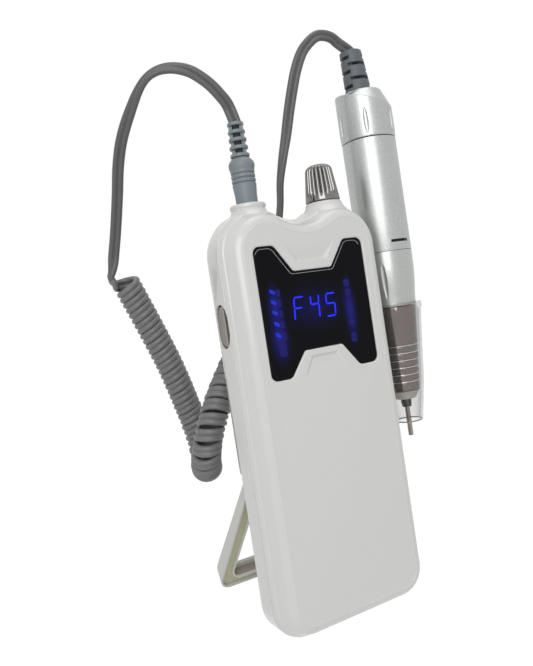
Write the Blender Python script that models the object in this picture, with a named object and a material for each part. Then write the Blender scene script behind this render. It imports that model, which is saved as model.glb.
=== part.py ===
"""Portable electric nail drill: control box on a kickstand, curly cord and handpiece.

Lengths are in metres and angles in degrees. The box leans back on its stand. Case
coordinates are x to the right, y from the front face to the back and z up the case;
the empty case_frame carries them into the standing pose, with the origin in the
middle of the heel, the flat under the back edge on which the box stands.
"""

from math import acos, atan2, cos, degrees, pi, radians, sin

import bmesh
import bpy
import numpy as np
from mathutils import Matrix, Vector

# General fits
FIT_GAP = 0.0003
SLIDE_GAP = 0.00035
OVERCUT = 0.002

# Control box
LEAN_ANGLE = 14.0
CASE_WIDTH = 0.0750
CASE_DEPTH = 0.0260
CASE_HEIGHT = 0.1763
CASE_CORNER_RADIUS = 0.0145
HUMP_RADIUS = 0.0188
VALLEY_DROP = 0.0053
SIDE_WALL = 0.0022
FRONT_WALL = 0.0024
BACK_WALL = 0.0022
PARTING_DEPTH = 0.0090
FRONT_EDGE_RUN = 0.0070
FRONT_EDGE_DEPTH = 0.0020
FRONT_SLANT = 0.0036
FRONT_CREASE_ANGLE = 14.0
BACK_EDGE_RADIUS = 0.0080
HEEL_HALF_ANGLE = 10.8
GROOVE_DEPTH = 0.0004
GROOVE_WIDTH = 0.0007
GROOVE_BEFORE_PARTING = 0.0026
RIM_CHAMFER = 0.00025

# Display window
WINDOW_CENTRE_Z = 0.1331
WINDOW_WIDTH = 0.0528
WINDOW_HEIGHT = 0.0536
WINDOW_TOP_NOTCH = 0.0111
WINDOW_BOTTOM_NOTCH = 0.0101
WINDOW_LOBE_WIDTH = 0.0095
WINDOW_NOTCH_FLARE = 0.0077
WINDOW_CORNER_RADIUS = 0.0030
WINDOW_NOTCH_RADIUS = 0.0018
WINDOW_RECESS = 0.0007
WINDOW_THICKNESS = 0.0010
WINDOW_LEDGE = 0.0012
TONGUE_INSET = 0.0026
TONGUE_POCKET_HEIGHT = 0.0062
TONGUE_POCKET_DEPTH = 0.0006
DISPLAY_WIDTH = 0.0400
DISPLAY_HEIGHT = 0.0290
DISPLAY_DEPTH = 0.0050

# Inside the box
BOARD_WIDTH = 0.0540
BOARD_HEIGHT = 0.0680
BOARD_THICKNESS = 0.0016
BOARD_ABOVE_CELLS = 0.0060
BOARD_HOLE_RADIUS = 0.0014
BOARD_HOLE_INSET = 0.0035
CELL_RADIUS = 0.0091
CELL_LENGTH = 0.0650
CELL_SPACING = 0.0006
CELL_ABOVE_FLOOR = 0.0105
TRAY_WALL = 0.0012
TRAY_LIP = 0.0100
SCREW_POST_RADIUS = 0.0036
SCREW_BOSS_RADIUS = 0.0030
SCREW_HEAD_RADIUS = 0.0024
SCREW_HEAD_HEIGHT = 0.0016
SCREW_SHANK_RADIUS = 0.0011
SCREW_LENGTH = 0.0110
SCREW_SINK = 0.0070
SCREW_JOINT_DEPTH = 0.0130
SCREW_LOW_X = 0.0232
SCREW_LOW_Z = 0.0130
SCREW_HIGH_FROM_SIDE = 0.0080
SCREW_HIGH_Z = 0.1580
PORT_WIDTH = 0.0090
PORT_HEIGHT = 0.0032
PORT_LENGTH = 0.0072
PORT_SHELL = 0.0004

# Socket, plug and speed control
TOP_MIDDLE_DEPTH = 0.0130
COLLAR_RADIUS = 0.0075
COLLAR_ABOVE_HUMP = 0.0025
COLLAR_SEAT_DROP = 0.0013
SEAT_RADIUS = 0.0078
SEAT_ABOVE_HUMP = 0.0014
SOCKET_NECK_RADIUS = 0.0036
SOCKET_BODY_RADIUS = 0.0048
SOCKET_LENGTH = 0.0140
SOCKET_NECK_LENGTH = 0.0058
PLUG_BARREL_RADIUS = 0.00275
PLUG_BARREL_BORE = 0.00125
PLUG_BARREL_LENGTH = 0.0095
SOCKET_PIN_RADIUS = 0.0009
PLUG_BODY_RADIUS = 0.00465
PLUG_BULGE_RADIUS = 0.0054
PLUG_BODY_LENGTH = 0.0140
PLUG_BULGE_LENGTH = 0.0050
PLUG_NECK_RADIUS = 0.0035
PLUG_RELIEF_RADIUS = 0.0040
PLUG_RELIEF_TIP_RADIUS = 0.0034
PLUG_RELIEF_LENGTH = 0.0145
PLUG_GROOVES = 3
PLUG_GROOVE_PITCH = 0.0018
PLUG_GROOVE_DEPTH = 0.0004
RELIEF_WINDOWS = 4
RELIEF_WINDOW_HEIGHT = 0.0014
POT_RADIUS = 0.0082
POT_HEIGHT = 0.0080
POT_NECK_RADIUS = 0.0034
POT_NECK_LENGTH = 0.0115
POT_SHAFT_RADIUS = 0.0029
NUT_WIDTH = 0.0096
NUT_HEIGHT = 0.0018
KNOB_BASE_RADIUS = 0.0076
KNOB_TOP_RADIUS = 0.0060
KNOB_HEIGHT = 0.0162
KNOB_FLUTES = 16
KNOB_FLUTE_DEPTH = 0.0007
KNOB_CROWN = 0.0026
KNOB_POCKET_RADIUS = 0.0062
KNOB_POCKET_DEPTH = 0.0036
KNOB_BORE_DEPTH = 0.0125

# Direction button on the left side
BUTTON_Z = 0.1308
BUTTON_DEPTH_Y = 0.0136
BUTTON_LENGTH = 0.0162
BUTTON_WIDTH = 0.0070
BUTTON_RECESS = 0.0007
BUTTON_FLANGE = 0.0006
BUTTON_FLANGE_THICKNESS = 0.0010
BUTTON_TRAVEL = 0.0008
BUTTON_STEM_RADIUS = 0.0015
BUTTON_STEM_LENGTH = 0.0020
SWITCH_SIZE = 0.0050

# Kickstand
STAND_LEG_WIDTH = 0.0060
STAND_THICKNESS = 0.0050
STAND_TOP_WIDTH = 0.0704
STAND_FOOT_WIDTH = 0.0732
STAND_REACH = 0.0667
STAND_BAR_WIDTH = 0.0054
STAND_CORNER_RADIUS = 0.0090
STAND_HINGE_Z = 0.0658
KNUCKLE_RADIUS = 0.0034
STAND_PIN_RADIUS = 0.0015
STAND_PIN_LENGTH = 0.0100
PIN_BOSS_RADIUS = 0.0028
PIN_BOSS_LENGTH = 0.0040
CHANNEL_WALL = 0.0020

# Handpiece holder
HOLDER_WALL = 0.0022
HOLDER_PAD = 0.0015
HOLDER_PAD_HEIGHT = 0.0160
HOLDER_PAD_DEPTH = 0.0060
HOLDER_HEIGHT = 0.0240
HOLDER_TOP_ABOVE_JOINT = 0.0097
HOLDER_LEFT_ARM = 0.0040
HOLDER_RIGHT_ARM = 0.0010
HANDPIECE_DEPTH_Y = 0.0196
HOLDER_SCREW_RADIUS = 0.0010
HOLDER_SCREW_HEAD = 0.0019
HOLDER_SCREW_PITCH = 0.0090

# Handpiece, measured from the joint between body and grip sleeve
GRIP_JOINT_Z = 0.1543
BODY_RADIUS = 0.0125
BODY_LENGTH = 0.0527
BODY_WALL = 0.0016
REAR_CAP_RADIUS = 0.0128
REAR_CAP_LENGTH = 0.0245
REAR_CAP_SHOULDER = 0.0060
REAR_CAP_TOP_RADIUS = 0.0086
REAR_CAP_TOP_WALL = 0.0030
CAP_GROOVES = 5
CAP_GROOVE_LENGTH = 0.0125
CAP_GROOVE_WIDTH = 0.0022
CAP_GROOVE_DEPTH = 0.0008
BOOT_LENGTH = 0.0169
BOOT_BASE_RADIUS = 0.0056
BOOT_TIP_RADIUS = 0.0049
BOOT_SPIGOT_RADIUS = 0.0029
BOOT_SPIGOT_LENGTH = 0.0045
BOOT_SLOT_HEIGHT = 0.0013
BOOT_SLOT_ROWS = 4
SLEEVE_LENGTH = 0.0249
SLEEVE_END_RADIUS = 0.0109
SLEEVE_WALL = 0.0016
SLEEVE_SPIGOT_LENGTH = 0.0090
TWIST_ANGLE = 36.0
SLOT_CENTRE_ANGLE = 270.0
SLOT_HEIGHT = 0.0026
SLOT_ABOVE_JOINT = 0.0053
LOCK_PIN_RADIUS = 0.0010
NOSE_LENGTH = 0.0414
NOSE_TIP_RADIUS = 0.0073
NOSE_SPIGOT_LENGTH = 0.0170
NOSE_GROOVES = 6
NOSE_GROOVE_PITCH = 0.0034
NOSE_GROOVE_DEPTH = 0.0005
NOSE_GROOVE_WIDTH = 0.0012
NOSE_GROOVE_START = 0.0042
DUST_RING_LENGTH = 0.0039
DUST_RING_TIP_RADIUS = 0.0048
BEARING_RADIUS = 0.0063
BEARING_WIDTH = 0.0040
BEARING_FROM_TIP = 0.0024
SPINDLE_RADIUS = 0.0036
SPINDLE_BORE = 0.0028
COLLET_RADIUS = 0.0025
COLLET_BORE = 0.00145
COLLET_LENGTH = 0.0330
COLLET_PROUD = 0.0040
COLLET_SLITS = 3
COLLET_SLIT_WIDTH = 0.0004
COLLET_SLIT_LENGTH = 0.0100
COLLET_TRAVEL = 0.0008
BIT_RADIUS = 0.001175
BIT_LENGTH = 0.0400
BIT_PROUD = 0.0140
SPRING_WIRE = 0.0009
SPRING_TURNS = 8
SPRING_LENGTH = 0.0300
MOTOR_WALL = 0.0010
MOTOR_ABOVE_JOINT = 0.0110
MOTOR_END_GAP = 0.0017
MAGNET_THICKNESS = 0.0022
MAGNET_LENGTH = 0.0240
ROTOR_RADIUS = 0.0064
ROTOR_LENGTH = 0.0220
ROTOR_SLOTS = 5
MOTOR_SHAFT_RADIUS = 0.0012
COMMUTATOR_RADIUS = 0.0030
COMMUTATOR_LENGTH = 0.0052
BRUSH_WIDTH = 0.0030
BRUSH_LENGTH = 0.0040
BRUSH_CAP_LENGTH = 0.0060
COUPLING_RADIUS = 0.0044
COUPLING_LENGTH = 0.0100
GUARD_RIM_RADIUS = 0.01354
GUARD_RIM_HEIGHT = 0.0024
GUARD_TOP_RADIUS = 0.0130
GUARD_MIDDLE_RADIUS = 0.0090
GUARD_MIDDLE_ABOVE_TIP = 0.0029
GUARD_END_RADIUS = 0.0061
GUARD_PAST_TIP = 0.0136
GUARD_WALL = 0.0011

# Cord: a flat twin lead, drawn here as a round one of like area
CORD_RADIUS = 0.00175
COIL_DIAMETER = 0.0102
COIL_PITCH = 0.0057
BEND_PITCH = 0.0076
RISE_PITCH = 0.0060
POINTS_PER_CURL = 8
LEAD_SPACING = 0.0070
STRAIGHT_END = 0.0040
COIL_END = 0.0010

# Sides of turned pieces
ROUND_SIDES = 24
SMALL_SIDES = 12

# Hand-chosen route of the lead between plug and coil, as the cord stands
PLUG_LEAD_ROUTE = [
    (-0.0178, 0.0472, 0.2135),
    (-0.0201, 0.0473, 0.2162),
    (-0.0226, 0.0476, 0.2184),
    (-0.0261, 0.0483, 0.2216),
    (-0.0294, 0.0494, 0.2245),
    (-0.0338, 0.0510, 0.2274),
    (-0.0381, 0.0527, 0.2288),
    (-0.0424, 0.0546, 0.2291),
    (-0.0467, 0.0568, 0.2281),
    (-0.0503, 0.0591, 0.2255),
    (-0.0530, 0.0621, 0.2209),
    (-0.0553, 0.0664, 0.2139),
    (-0.0571, 0.0704, 0.2071),
    (-0.0583, 0.0743, 0.1999),
    (-0.0587, 0.0787, 0.1910),
    (-0.0586, 0.0827, 0.1812),
    (-0.0589, 0.0859, 0.1715),
    (-0.0596, 0.0881, 0.1621),
    (-0.0607, 0.0892, 0.1539),
    (-0.0618, 0.0895, 0.1471),
]

# Hand-chosen line down the middle of the coils: left arm, bend at the bottom, right arm
COIL_ROUTE = [
    (-0.0580, 0.0900, 0.1436),
    (-0.0546, 0.0887, 0.1355),
    (-0.0512, 0.0874, 0.1273),
    (-0.0479, 0.0860, 0.1191),
    (-0.0447, 0.0846, 0.1109),
    (-0.0415, 0.0833, 0.1026),
    (-0.0387, 0.0819, 0.0943),
    (-0.0361, 0.0807, 0.0858),
    (-0.0336, 0.0797, 0.0773),
    (-0.0311, 0.0786, 0.0688),
    (-0.0290, 0.0768, 0.0603),
    (-0.0289, 0.0720, 0.0530),
    (-0.0316, 0.0639, 0.0512),
    (-0.0351, 0.0563, 0.0542),
    (-0.0380, 0.0499, 0.0596),
    (-0.0395, 0.0451, 0.0670),
    (-0.0386, 0.0434, 0.0756),
    (-0.0349, 0.0452, 0.0834),
    (-0.0299, 0.0488, 0.0899),
    (-0.0244, 0.0527, 0.0957),
    (-0.0187, 0.0564, 0.1016),
    (-0.0131, 0.0600, 0.1075),
]

# Hand-chosen route of the lead from the coil, up behind the box and over to the boot
TOOL_LEAD_ROUTE = [
    (-0.0101, 0.0602, 0.1129),
    (-0.0060, 0.0603, 0.1210),
    (-0.0018, 0.0603, 0.1296),
    (0.0024, 0.0604, 0.1396),
    (0.0061, 0.0605, 0.1501),
    (0.0095, 0.0605, 0.1610),
    (0.0113, 0.0606, 0.1720),
    (0.0117, 0.0607, 0.1824),
    (0.0133, 0.0607, 0.1927),
    (0.0155, 0.0608, 0.2032),
    (0.0174, 0.0609, 0.2137),
    (0.0194, 0.0609, 0.2232),
    (0.0217, 0.0610, 0.2318),
    (0.0249, 0.0611, 0.2391),
    (0.0288, 0.0611, 0.2436),
    (0.0335, 0.0611, 0.2466),
    (0.0384, 0.0611, 0.2474),
    (0.0435, 0.0612, 0.2466),
    (0.0478, 0.0612, 0.2446),
]

# Places worked out from the sizes above
CASE_SIDE = CASE_WIDTH / 2
HUMP_X = CASE_SIDE - HUMP_RADIUS
HEEL_INSET = BACK_EDGE_RADIUS * cos(radians(HEEL_HALF_ANGLE))
HEEL_Y = CASE_DEPTH - BACK_EDGE_RADIUS + HEEL_INSET * sin(radians(LEAN_ANGLE))
HEEL_Z = BACK_EDGE_RADIUS - HEEL_INSET * cos(radians(LEAN_ANGLE))
WINDOW_NOTCH_MOUTH = WINDOW_WIDTH - 2 * WINDOW_LOBE_WIDTH
WINDOW_NOTCH_WIDTH = WINDOW_NOTCH_MOUTH - 2 * WINDOW_NOTCH_FLARE
COLLAR_SEAT_Z = CASE_HEIGHT - COLLAR_SEAT_DROP
COLLAR_TOP_Z = CASE_HEIGHT + COLLAR_ABOVE_HUMP
KNOB_SEAT_TOP_Z = CASE_HEIGHT + SEAT_ABOVE_HUMP
STAND_HINGE_Y = CASE_DEPTH - KNUCKLE_RADIUS - FIT_GAP
CHANNEL_X = STAND_TOP_WIDTH / 2 - STAND_LEG_WIDTH - SLIDE_GAP
CHANNEL_Y = STAND_HINGE_Y - KNUCKLE_RADIUS - FIT_GAP
CHANNEL_TOP = STAND_HINGE_Z + KNUCKLE_RADIUS + SLIDE_GAP
HOLDER_BORE = BODY_RADIUS + SLIDE_GAP
HANDPIECE_X = CASE_SIDE + FIT_GAP + HOLDER_PAD + HOLDER_WALL + HOLDER_BORE - FIT_GAP
CELL_FLOOR = CELL_ABOVE_FLOOR
CELL_TOP = CELL_FLOOR + CELL_LENGTH
CELL_Y = (FRONT_WALL + CASE_DEPTH - BACK_WALL) / 2
BOARD_Y = WINDOW_RECESS + WINDOW_THICKNESS + FIT_GAP + DISPLAY_DEPTH + 2 * FIT_GAP + WINDOW_LEDGE
BOARD_BOTTOM = CELL_TOP + BOARD_ABOVE_CELLS
SCREW_HIGH_X = CASE_SIDE - SCREW_HIGH_FROM_SIDE
SLEEVE_END_Z = GRIP_JOINT_Z - SLEEVE_LENGTH
NOSE_TOP_Z = SLEEVE_END_Z - FIT_GAP
NOSE_TIP_Z = NOSE_TOP_Z - NOSE_LENGTH
COLLET_END_Z = NOSE_TIP_Z - DUST_RING_LENGTH - FIT_GAP - COLLET_PROUD
BODY_TOP_Z = GRIP_JOINT_Z + BODY_LENGTH
REAR_CAP_TOP_Z = BODY_TOP_Z + REAR_CAP_LENGTH
MOTOR_BASE_Z = GRIP_JOINT_Z + MOTOR_ABOVE_JOINT
MOTOR_LENGTH = BODY_LENGTH - MOTOR_ABOVE_JOINT - BRUSH_CAP_LENGTH - MOTOR_END_GAP
INNER_BORE = BODY_RADIUS - BODY_WALL
MOTOR_RADIUS = INNER_BORE - SLIDE_GAP
NOSE_BORE = BEARING_RADIUS + FIT_GAP


def clear_scene():
    for item in list(bpy.data.objects):
        bpy.data.objects.remove(item, do_unlink=True)


def finish(name, colour, roughness, metallic=0.0, alpha=1.0):
    material = bpy.data.materials.new(name)
    material.use_nodes = True
    shader = material.node_tree.nodes["Principled BSDF"]
    shader.inputs["Base Color"].default_value = (*colour, 1.0)
    shader.inputs["Roughness"].default_value = roughness
    shader.inputs["Metallic"].default_value = metallic
    shader.inputs["Alpha"].default_value = alpha
    material.diffuse_color = (*colour, alpha)
    return material


def empty(name, parent=None, location=(0, 0, 0), rotation=(0, 0, 0)):
    frame = bpy.data.objects.new(name, None)
    frame.empty_display_size = 0.01
    frame.location = location
    frame.rotation_euler = rotation
    frame.parent = parent
    bpy.context.scene.collection.objects.link(frame)
    return frame


def place(name, mesh_data, material, parent, location=(0, 0, 0), rotation=(0, 0, 0)):
    piece = bpy.data.objects.new(name, mesh_data)
    piece.location = location
    piece.rotation_euler = rotation
    piece.parent = parent
    if material is not None:
        mesh_data.materials.append(material)
    bpy.context.scene.collection.objects.link(piece)
    return piece


def solid(name, shape, material, parent, location=(0, 0, 0), rotation=(0, 0, 0)):
    """Object made from a bmesh, shaded smooth except at its edges."""
    bmesh.ops.recalc_face_normals(shape, faces=shape.faces)
    data = bpy.data.meshes.new(name)
    shape.to_mesh(data)
    shape.free()
    data.shade_smooth()
    data.set_sharp_from_angle(angle=radians(32))
    return place(name, data, material, parent, location, rotation)


def helper(name, shape, parent, location=(0, 0, 0), rotation=(0, 0, 0)):
    tool = solid(name, shape, None, parent, location, rotation)
    tool.hide_render = True
    tool.display_type = "WIRE"
    return tool


def combine(target, tool, operation="DIFFERENCE"):
    change = target.modifiers.new(tool.name, "BOOLEAN")
    change.operation = operation
    change.solver = "EXACT"
    change.object = tool
    return target


def arc(centre_x, centre_y, radius, start, end, steps):
    """Points along an arc, both ends included."""
    angles = (radians(start + (end - start) * i / steps) for i in range(steps + 1))
    return [(centre_x + radius * cos(a), centre_y + radius * sin(a)) for a in angles]


def circle(radius, sides, centre=(0, 0)):
    return arc(*centre, radius, 0, 360 * (sides - 1) / sides, sides - 1)


def capsule(length, width, steps=6):
    """Outline with round ends, long along its second axis."""
    half = (length - width) / 2
    top = arc(0, half, width / 2, 0, 180, steps)
    bottom = arc(0, -half, width / 2, 180, 360, steps)
    return top + bottom


def rounded(corners, radii, steps=4):
    """Polygon with each corner turned into an arc of its radius."""
    points = []
    count = len(corners)
    for i, corner in enumerate(corners):
        here = Vector(corner)
        before = (Vector(corners[i - 1]) - here).normalized()
        after = (Vector(corners[(i + 1) % count]) - here).normalized()
        half = before.angle(after) / 2
        reach = radii[i] / np.tan(half)
        middle = here + (before + after).normalized() * radii[i] / sin(half)
        first = here + before * reach - middle
        last = here + after * reach - middle
        sweep = first.angle_signed(last)
        for k in range(steps + 1):
            turned_by = Matrix.Rotation(-sweep * k / steps, 2) @ first
            points.append(tuple(middle + turned_by))
    return points


def loft(rings):
    """Closed shape through rings of equal count, capped at both ends."""
    shape = bmesh.new()
    rows = [[shape.verts.new(p) for p in ring] for ring in rings]
    count = len(rows[0])
    for low, high in zip(rows, rows[1:]):
        for i in range(count):
            k = (i + 1) % count
            shape.faces.new((low[i], low[k], high[k], high[i]))
    shape.faces.new(rows[0])
    shape.faces.new(rows[-1])
    return shape


def prism(outline, low, high, axis="z"):
    """Outline pushed along an axis; the outline's two values fill the other axes in order."""
    orders = {"x": (2, 0, 1), "y": (0, 2, 1), "z": (0, 1, 2)}
    order = orders[axis]

    def lift(point, level):
        values = (*point, level)
        return tuple(values[k] for k in order)

    return loft([[lift(p, low) for p in outline], [lift(p, high) for p in outline]])


def block(low, high):
    corners = [(low[0], low[1]), (high[0], low[1]), (high[0], high[1]), (low[0], high[1])]
    return prism(corners, low[2], high[2])


def turned(profile, sides=ROUND_SIDES):
    """Solid turned about z from a closed profile of (radius, height) points."""
    shape = bmesh.new()
    rows = []
    for radius, height in profile:
        if radius == 0:
            rows.append([shape.verts.new((0, 0, height))])
            continue
        rows.append([shape.verts.new((x, y, height)) for x, y in circle(radius, sides)])
    for low, high in zip(rows, rows[1:] + rows[:1]):
        if len(low) == 1 and len(high) == 1:
            continue
        for i in range(sides):
            k = (i + 1) % sides
            corners = [low[i % len(low)], low[k % len(low)], high[k % len(high)], high[i % len(high)]]
            shape.faces.new(dict.fromkeys(corners))
    return shape


def tube_profile(outer, inner, low, high):
    return [(outer, low), (outer, high), (inner, high), (inner, low)]


def rod(radius, low, high, sides=SMALL_SIDES):
    return turned([(0, low), (radius, low), (radius, high), (0, high)], sides)


def along_x(shape):
    """Turns a shape made along z so that it runs along x."""
    bmesh.ops.rotate(shape, cent=(0, 0, 0), matrix=Matrix.Rotation(pi / 2, 3, "Y"), verts=shape.verts)
    return shape


def along_y(shape):
    """Turns a shape made along z so that it runs along y."""
    bmesh.ops.rotate(shape, cent=(0, 0, 0), matrix=Matrix.Rotation(-pi / 2, 3, "X"), verts=shape.verts)
    return shape


def moved(shape, offset):
    bmesh.ops.translate(shape, vec=offset, verts=shape.verts)
    return shape


def spun(shape, angle):
    bmesh.ops.rotate(shape, cent=(0, 0, 0), matrix=Matrix.Rotation(radians(angle), 3, "Z"), verts=shape.verts)
    return shape


def gathered(shapes):
    """Several separate shapes in one bmesh, used for groups of cutters."""
    whole = bmesh.new()
    for shape in shapes:
        data = bpy.data.meshes.new("group")
        shape.to_mesh(data)
        shape.free()
        whole.from_mesh(data)
        bpy.data.meshes.remove(data)
    return whole


def case_outline(inset=0.0):
    """Outline of the case in (x, z): twin humps joined by a hollow, moved in by inset."""
    hump_z = CASE_HEIGHT - HUMP_RADIUS
    rise = HUMP_RADIUS - VALLEY_DROP
    valley_radius = (HUMP_X**2 + rise**2 - HUMP_RADIUS**2) / (2 * VALLEY_DROP)
    meet = degrees(atan2(rise + valley_radius, HUMP_X))
    valley_z = hump_z + rise + valley_radius
    corner_x = CASE_SIDE - CASE_CORNER_RADIUS
    corner = CASE_CORNER_RADIUS - inset
    hump = HUMP_RADIUS - inset
    points = arc(corner_x, CASE_CORNER_RADIUS, corner, -90, 0, 5)
    points += arc(HUMP_X, hump_z, hump, 0, 180 - meet, 9)
    points += arc(0, valley_z, valley_radius + inset, -meet, meet - 180, 6)[1:-1]
    points += arc(-HUMP_X, hump_z, hump, meet, 180, 9)
    points += arc(-corner_x, CASE_CORNER_RADIUS, corner, 180, 270, 5)
    return points


def case_ring(depth, inset):
    return [(x, depth, z) for x, z in case_outline(inset)]


def side_inset(depth):
    """How far the slanted front half of the side lies inside the outline at a depth."""
    return FRONT_SLANT * (PARTING_DEPTH - depth) / (PARTING_DEPTH - FRONT_EDGE_DEPTH)


def front_edge_rings(steps=4):
    """Rings of the rounded front edge, from a crease at the flat face to the slanted side."""
    start = radians(FRONT_CREASE_ANGLE)
    end = pi / 2 - atan2(FRONT_SLANT, PARTING_DEPTH - FRONT_EDGE_DEPTH)
    rings = []
    for i in range(steps + 1):
        angle = start + (end - start) * i / steps
        depth = FRONT_EDGE_DEPTH * (cos(start) - cos(angle)) / (cos(start) - cos(end))
        share = (sin(end) - sin(angle)) / (sin(end) - sin(start))
        rings.append(case_ring(depth, FRONT_SLANT + (FRONT_EDGE_RUN - FRONT_SLANT) * share))
    return rings


def window_outline(grow=0.0):
    """Outline of the display window in (x, z), with a notch above and below, grown by grow."""
    half = WINDOW_WIDTH / 2 + grow
    top = WINDOW_HEIGHT / 2 + grow
    mouth = WINDOW_NOTCH_MOUTH / 2 - grow
    floor = WINDOW_NOTCH_WIDTH / 2 - grow
    upper = top - WINDOW_TOP_NOTCH
    lower = -top + WINDOW_BOTTOM_NOTCH
    corners = [
        (half, -top), (half, top), (mouth, top), (floor, upper), (-floor, upper), (-mouth, top),
        (-half, top), (-half, -top), (-mouth, -top), (-floor, lower), (floor, lower), (mouth, -top),
    ]
    corner = WINDOW_CORNER_RADIUS
    notch = WINDOW_NOTCH_RADIUS
    radii = [corner, corner, corner, notch, notch, corner] * 2
    return [(x, z + WINDOW_CENTRE_Z) for x, z in rounded(corners, radii)]


def window_opening():
    """Opening with a ledge on which the window plate sits."""
    ledge = WINDOW_RECESS + WINDOW_THICKNESS + FIT_GAP
    levels = [(FIT_GAP, -OVERCUT), (FIT_GAP, ledge), (-WINDOW_LEDGE, ledge), (-WINDOW_LEDGE, FRONT_WALL + OVERCUT)]
    return loft([[(x, depth, z) for x, z in window_outline(grow)] for grow, depth in levels])


def tongue_pocket(side):
    """Shallow trapezoid sunk in the white tongue above (+1) or below (-1) the window."""
    notch = WINDOW_TOP_NOTCH if side > 0 else WINDOW_BOTTOM_NOTCH
    near = WINDOW_CENTRE_Z + side * (WINDOW_HEIGHT / 2 - notch + TONGUE_INSET)
    far = near + side * TONGUE_POCKET_HEIGHT
    spread = (WINDOW_NOTCH_MOUTH - WINDOW_NOTCH_WIDTH) / 2 / notch
    narrow = WINDOW_NOTCH_WIDTH / 2 - TONGUE_INSET / 2
    wide = narrow + TONGUE_POCKET_HEIGHT * spread
    outline = [(-narrow, near), (narrow, near), (wide, far), (-wide, far)]
    return prism(outline, -OVERCUT, TONGUE_POCKET_DEPTH, "y")


def screw_places():
    return {
        "lower_left": (-SCREW_LOW_X, SCREW_LOW_Z),
        "lower_right": (SCREW_LOW_X, SCREW_LOW_Z),
        "upper_left": (-SCREW_HIGH_X, SCREW_HIGH_Z),
        "upper_right": (SCREW_HIGH_X, SCREW_HIGH_Z),
    }


def seat_cutters():
    """Flat round seats cut in the two humps, each with the hole for the neck that comes up through it."""
    high = CASE_HEIGHT + OVERCUT
    low = CASE_HEIGHT - HUMP_RADIUS
    cutters = []
    for x, seat, neck in ((-HUMP_X, COLLAR_RADIUS, SOCKET_NECK_RADIUS), (HUMP_X, SEAT_RADIUS, POT_NECK_RADIUS)):
        profile = [
            (0, low), (neck + FIT_GAP, low), (neck + FIT_GAP, COLLAR_SEAT_Z), (seat + FIT_GAP, COLLAR_SEAT_Z),
            (seat + FIT_GAP, high), (0, high),
        ]
        cutters.append(moved(turned(profile), (x, TOP_MIDDLE_DEPTH, 0)))
    return cutters


def make_front_cover(case, white):
    rim = PARTING_DEPTH - FIT_GAP / 2
    groove = PARTING_DEPTH - GROOVE_BEFORE_PARTING
    rings = front_edge_rings()
    for depth, sink in ((groove - GROOVE_WIDTH / 2, 0), (groove, GROOVE_DEPTH), (groove + GROOVE_WIDTH / 2, 0)):
        rings.append(case_ring(depth, side_inset(depth) + sink))
    rings.append(case_ring(rim - RIM_CHAMFER, side_inset(rim - RIM_CHAMFER)))
    rings.append(case_ring(rim, side_inset(rim) + RIM_CHAMFER))
    rings.append(case_ring(rim, SIDE_WALL))
    rings.append(case_ring(FRONT_WALL, SIDE_WALL + side_inset(FRONT_WALL)))
    cover = solid("front_cover", loft(rings), white, case)
    bosses = []
    for x, z in screw_places().values():
        length = SCREW_JOINT_DEPTH - FRONT_WALL / 2 - FIT_GAP / 2
        bore = SCREW_SHANK_RADIUS + FIT_GAP
        floor = FRONT_WALL / 2 + FIT_GAP
        profile = [
            (0, 0), (SCREW_BOSS_RADIUS, 0), (SCREW_BOSS_RADIUS, length), (bore, length), (bore, floor), (0, floor),
        ]
        boss = along_y(turned(profile, SMALL_SIDES))
        bosses.append(moved(boss, (x, FRONT_WALL / 2, z)))
    combine(cover, helper("front_bosses", gathered(bosses), case), "UNION")
    cuts = [window_opening(), tongue_pocket(1), tongue_pocket(-1)] + seat_cutters()
    combine(cover, helper("front_cuts", gathered(cuts), case))
    return cover


def rear_rings():
    """Outer rings of the rear cover; the facet at the heel lies flat on the table."""
    rim = PARTING_DEPTH + FIT_GAP / 2
    rings = [case_ring(rim, RIM_CHAMFER), case_ring(rim + RIM_CHAMFER, 0)]
    first = LEAN_ANGLE - HEEL_HALF_ANGLE
    second = LEAN_ANGLE + HEEL_HALF_ANGLE
    turns = [first] + [second + (90 - second) * i / 3 for i in range(4)]
    for angle in turns:
        depth = CASE_DEPTH - BACK_EDGE_RADIUS * (1 - sin(radians(angle)))
        rings.append(case_ring(depth, BACK_EDGE_RADIUS * (1 - cos(radians(angle)))))
    return rings


def upper_hollow():
    """Hollow above the stand channels, following the rounded back."""
    step = CHANNEL_TOP + CHANNEL_WALL
    start = CHANNEL_Y - CHANNEL_WALL - OVERCUT
    turn = CASE_DEPTH - BACK_EDGE_RADIUS
    rings = []
    for depth, inset in ((start, SIDE_WALL), (turn, SIDE_WALL), (CASE_DEPTH - BACK_WALL, BACK_EDGE_RADIUS)):
        rings.append([(x, depth, max(z, step)) for x, z in case_outline(inset)])
    return loft(rings)


def lower_hollow():
    """Hollow between the two stand channels."""
    half = CHANNEL_X - CHANNEL_WALL
    low = (-half, CHANNEL_Y - CHANNEL_WALL - OVERCUT, BACK_EDGE_RADIUS)
    high = (half, CASE_DEPTH - BACK_WALL, CHANNEL_TOP + CHANNEL_WALL + OVERCUT)
    return block(low, high)


def stand_channel(side):
    outer = CASE_SIDE + OVERCUT
    spans = sorted((side * CHANNEL_X, side * outer))
    low = (spans[0], CHANNEL_Y, -OVERCUT)
    high = (spans[1], CASE_DEPTH + OVERCUT, CHANNEL_TOP)
    return block(low, high)


def pin_shape(side, radius, start, length):
    shape = along_x(rod(radius, 0, length))
    offset = start if side > 0 else -start - length
    return moved(shape, (offset, STAND_HINGE_Y, STAND_HINGE_Z))


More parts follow.
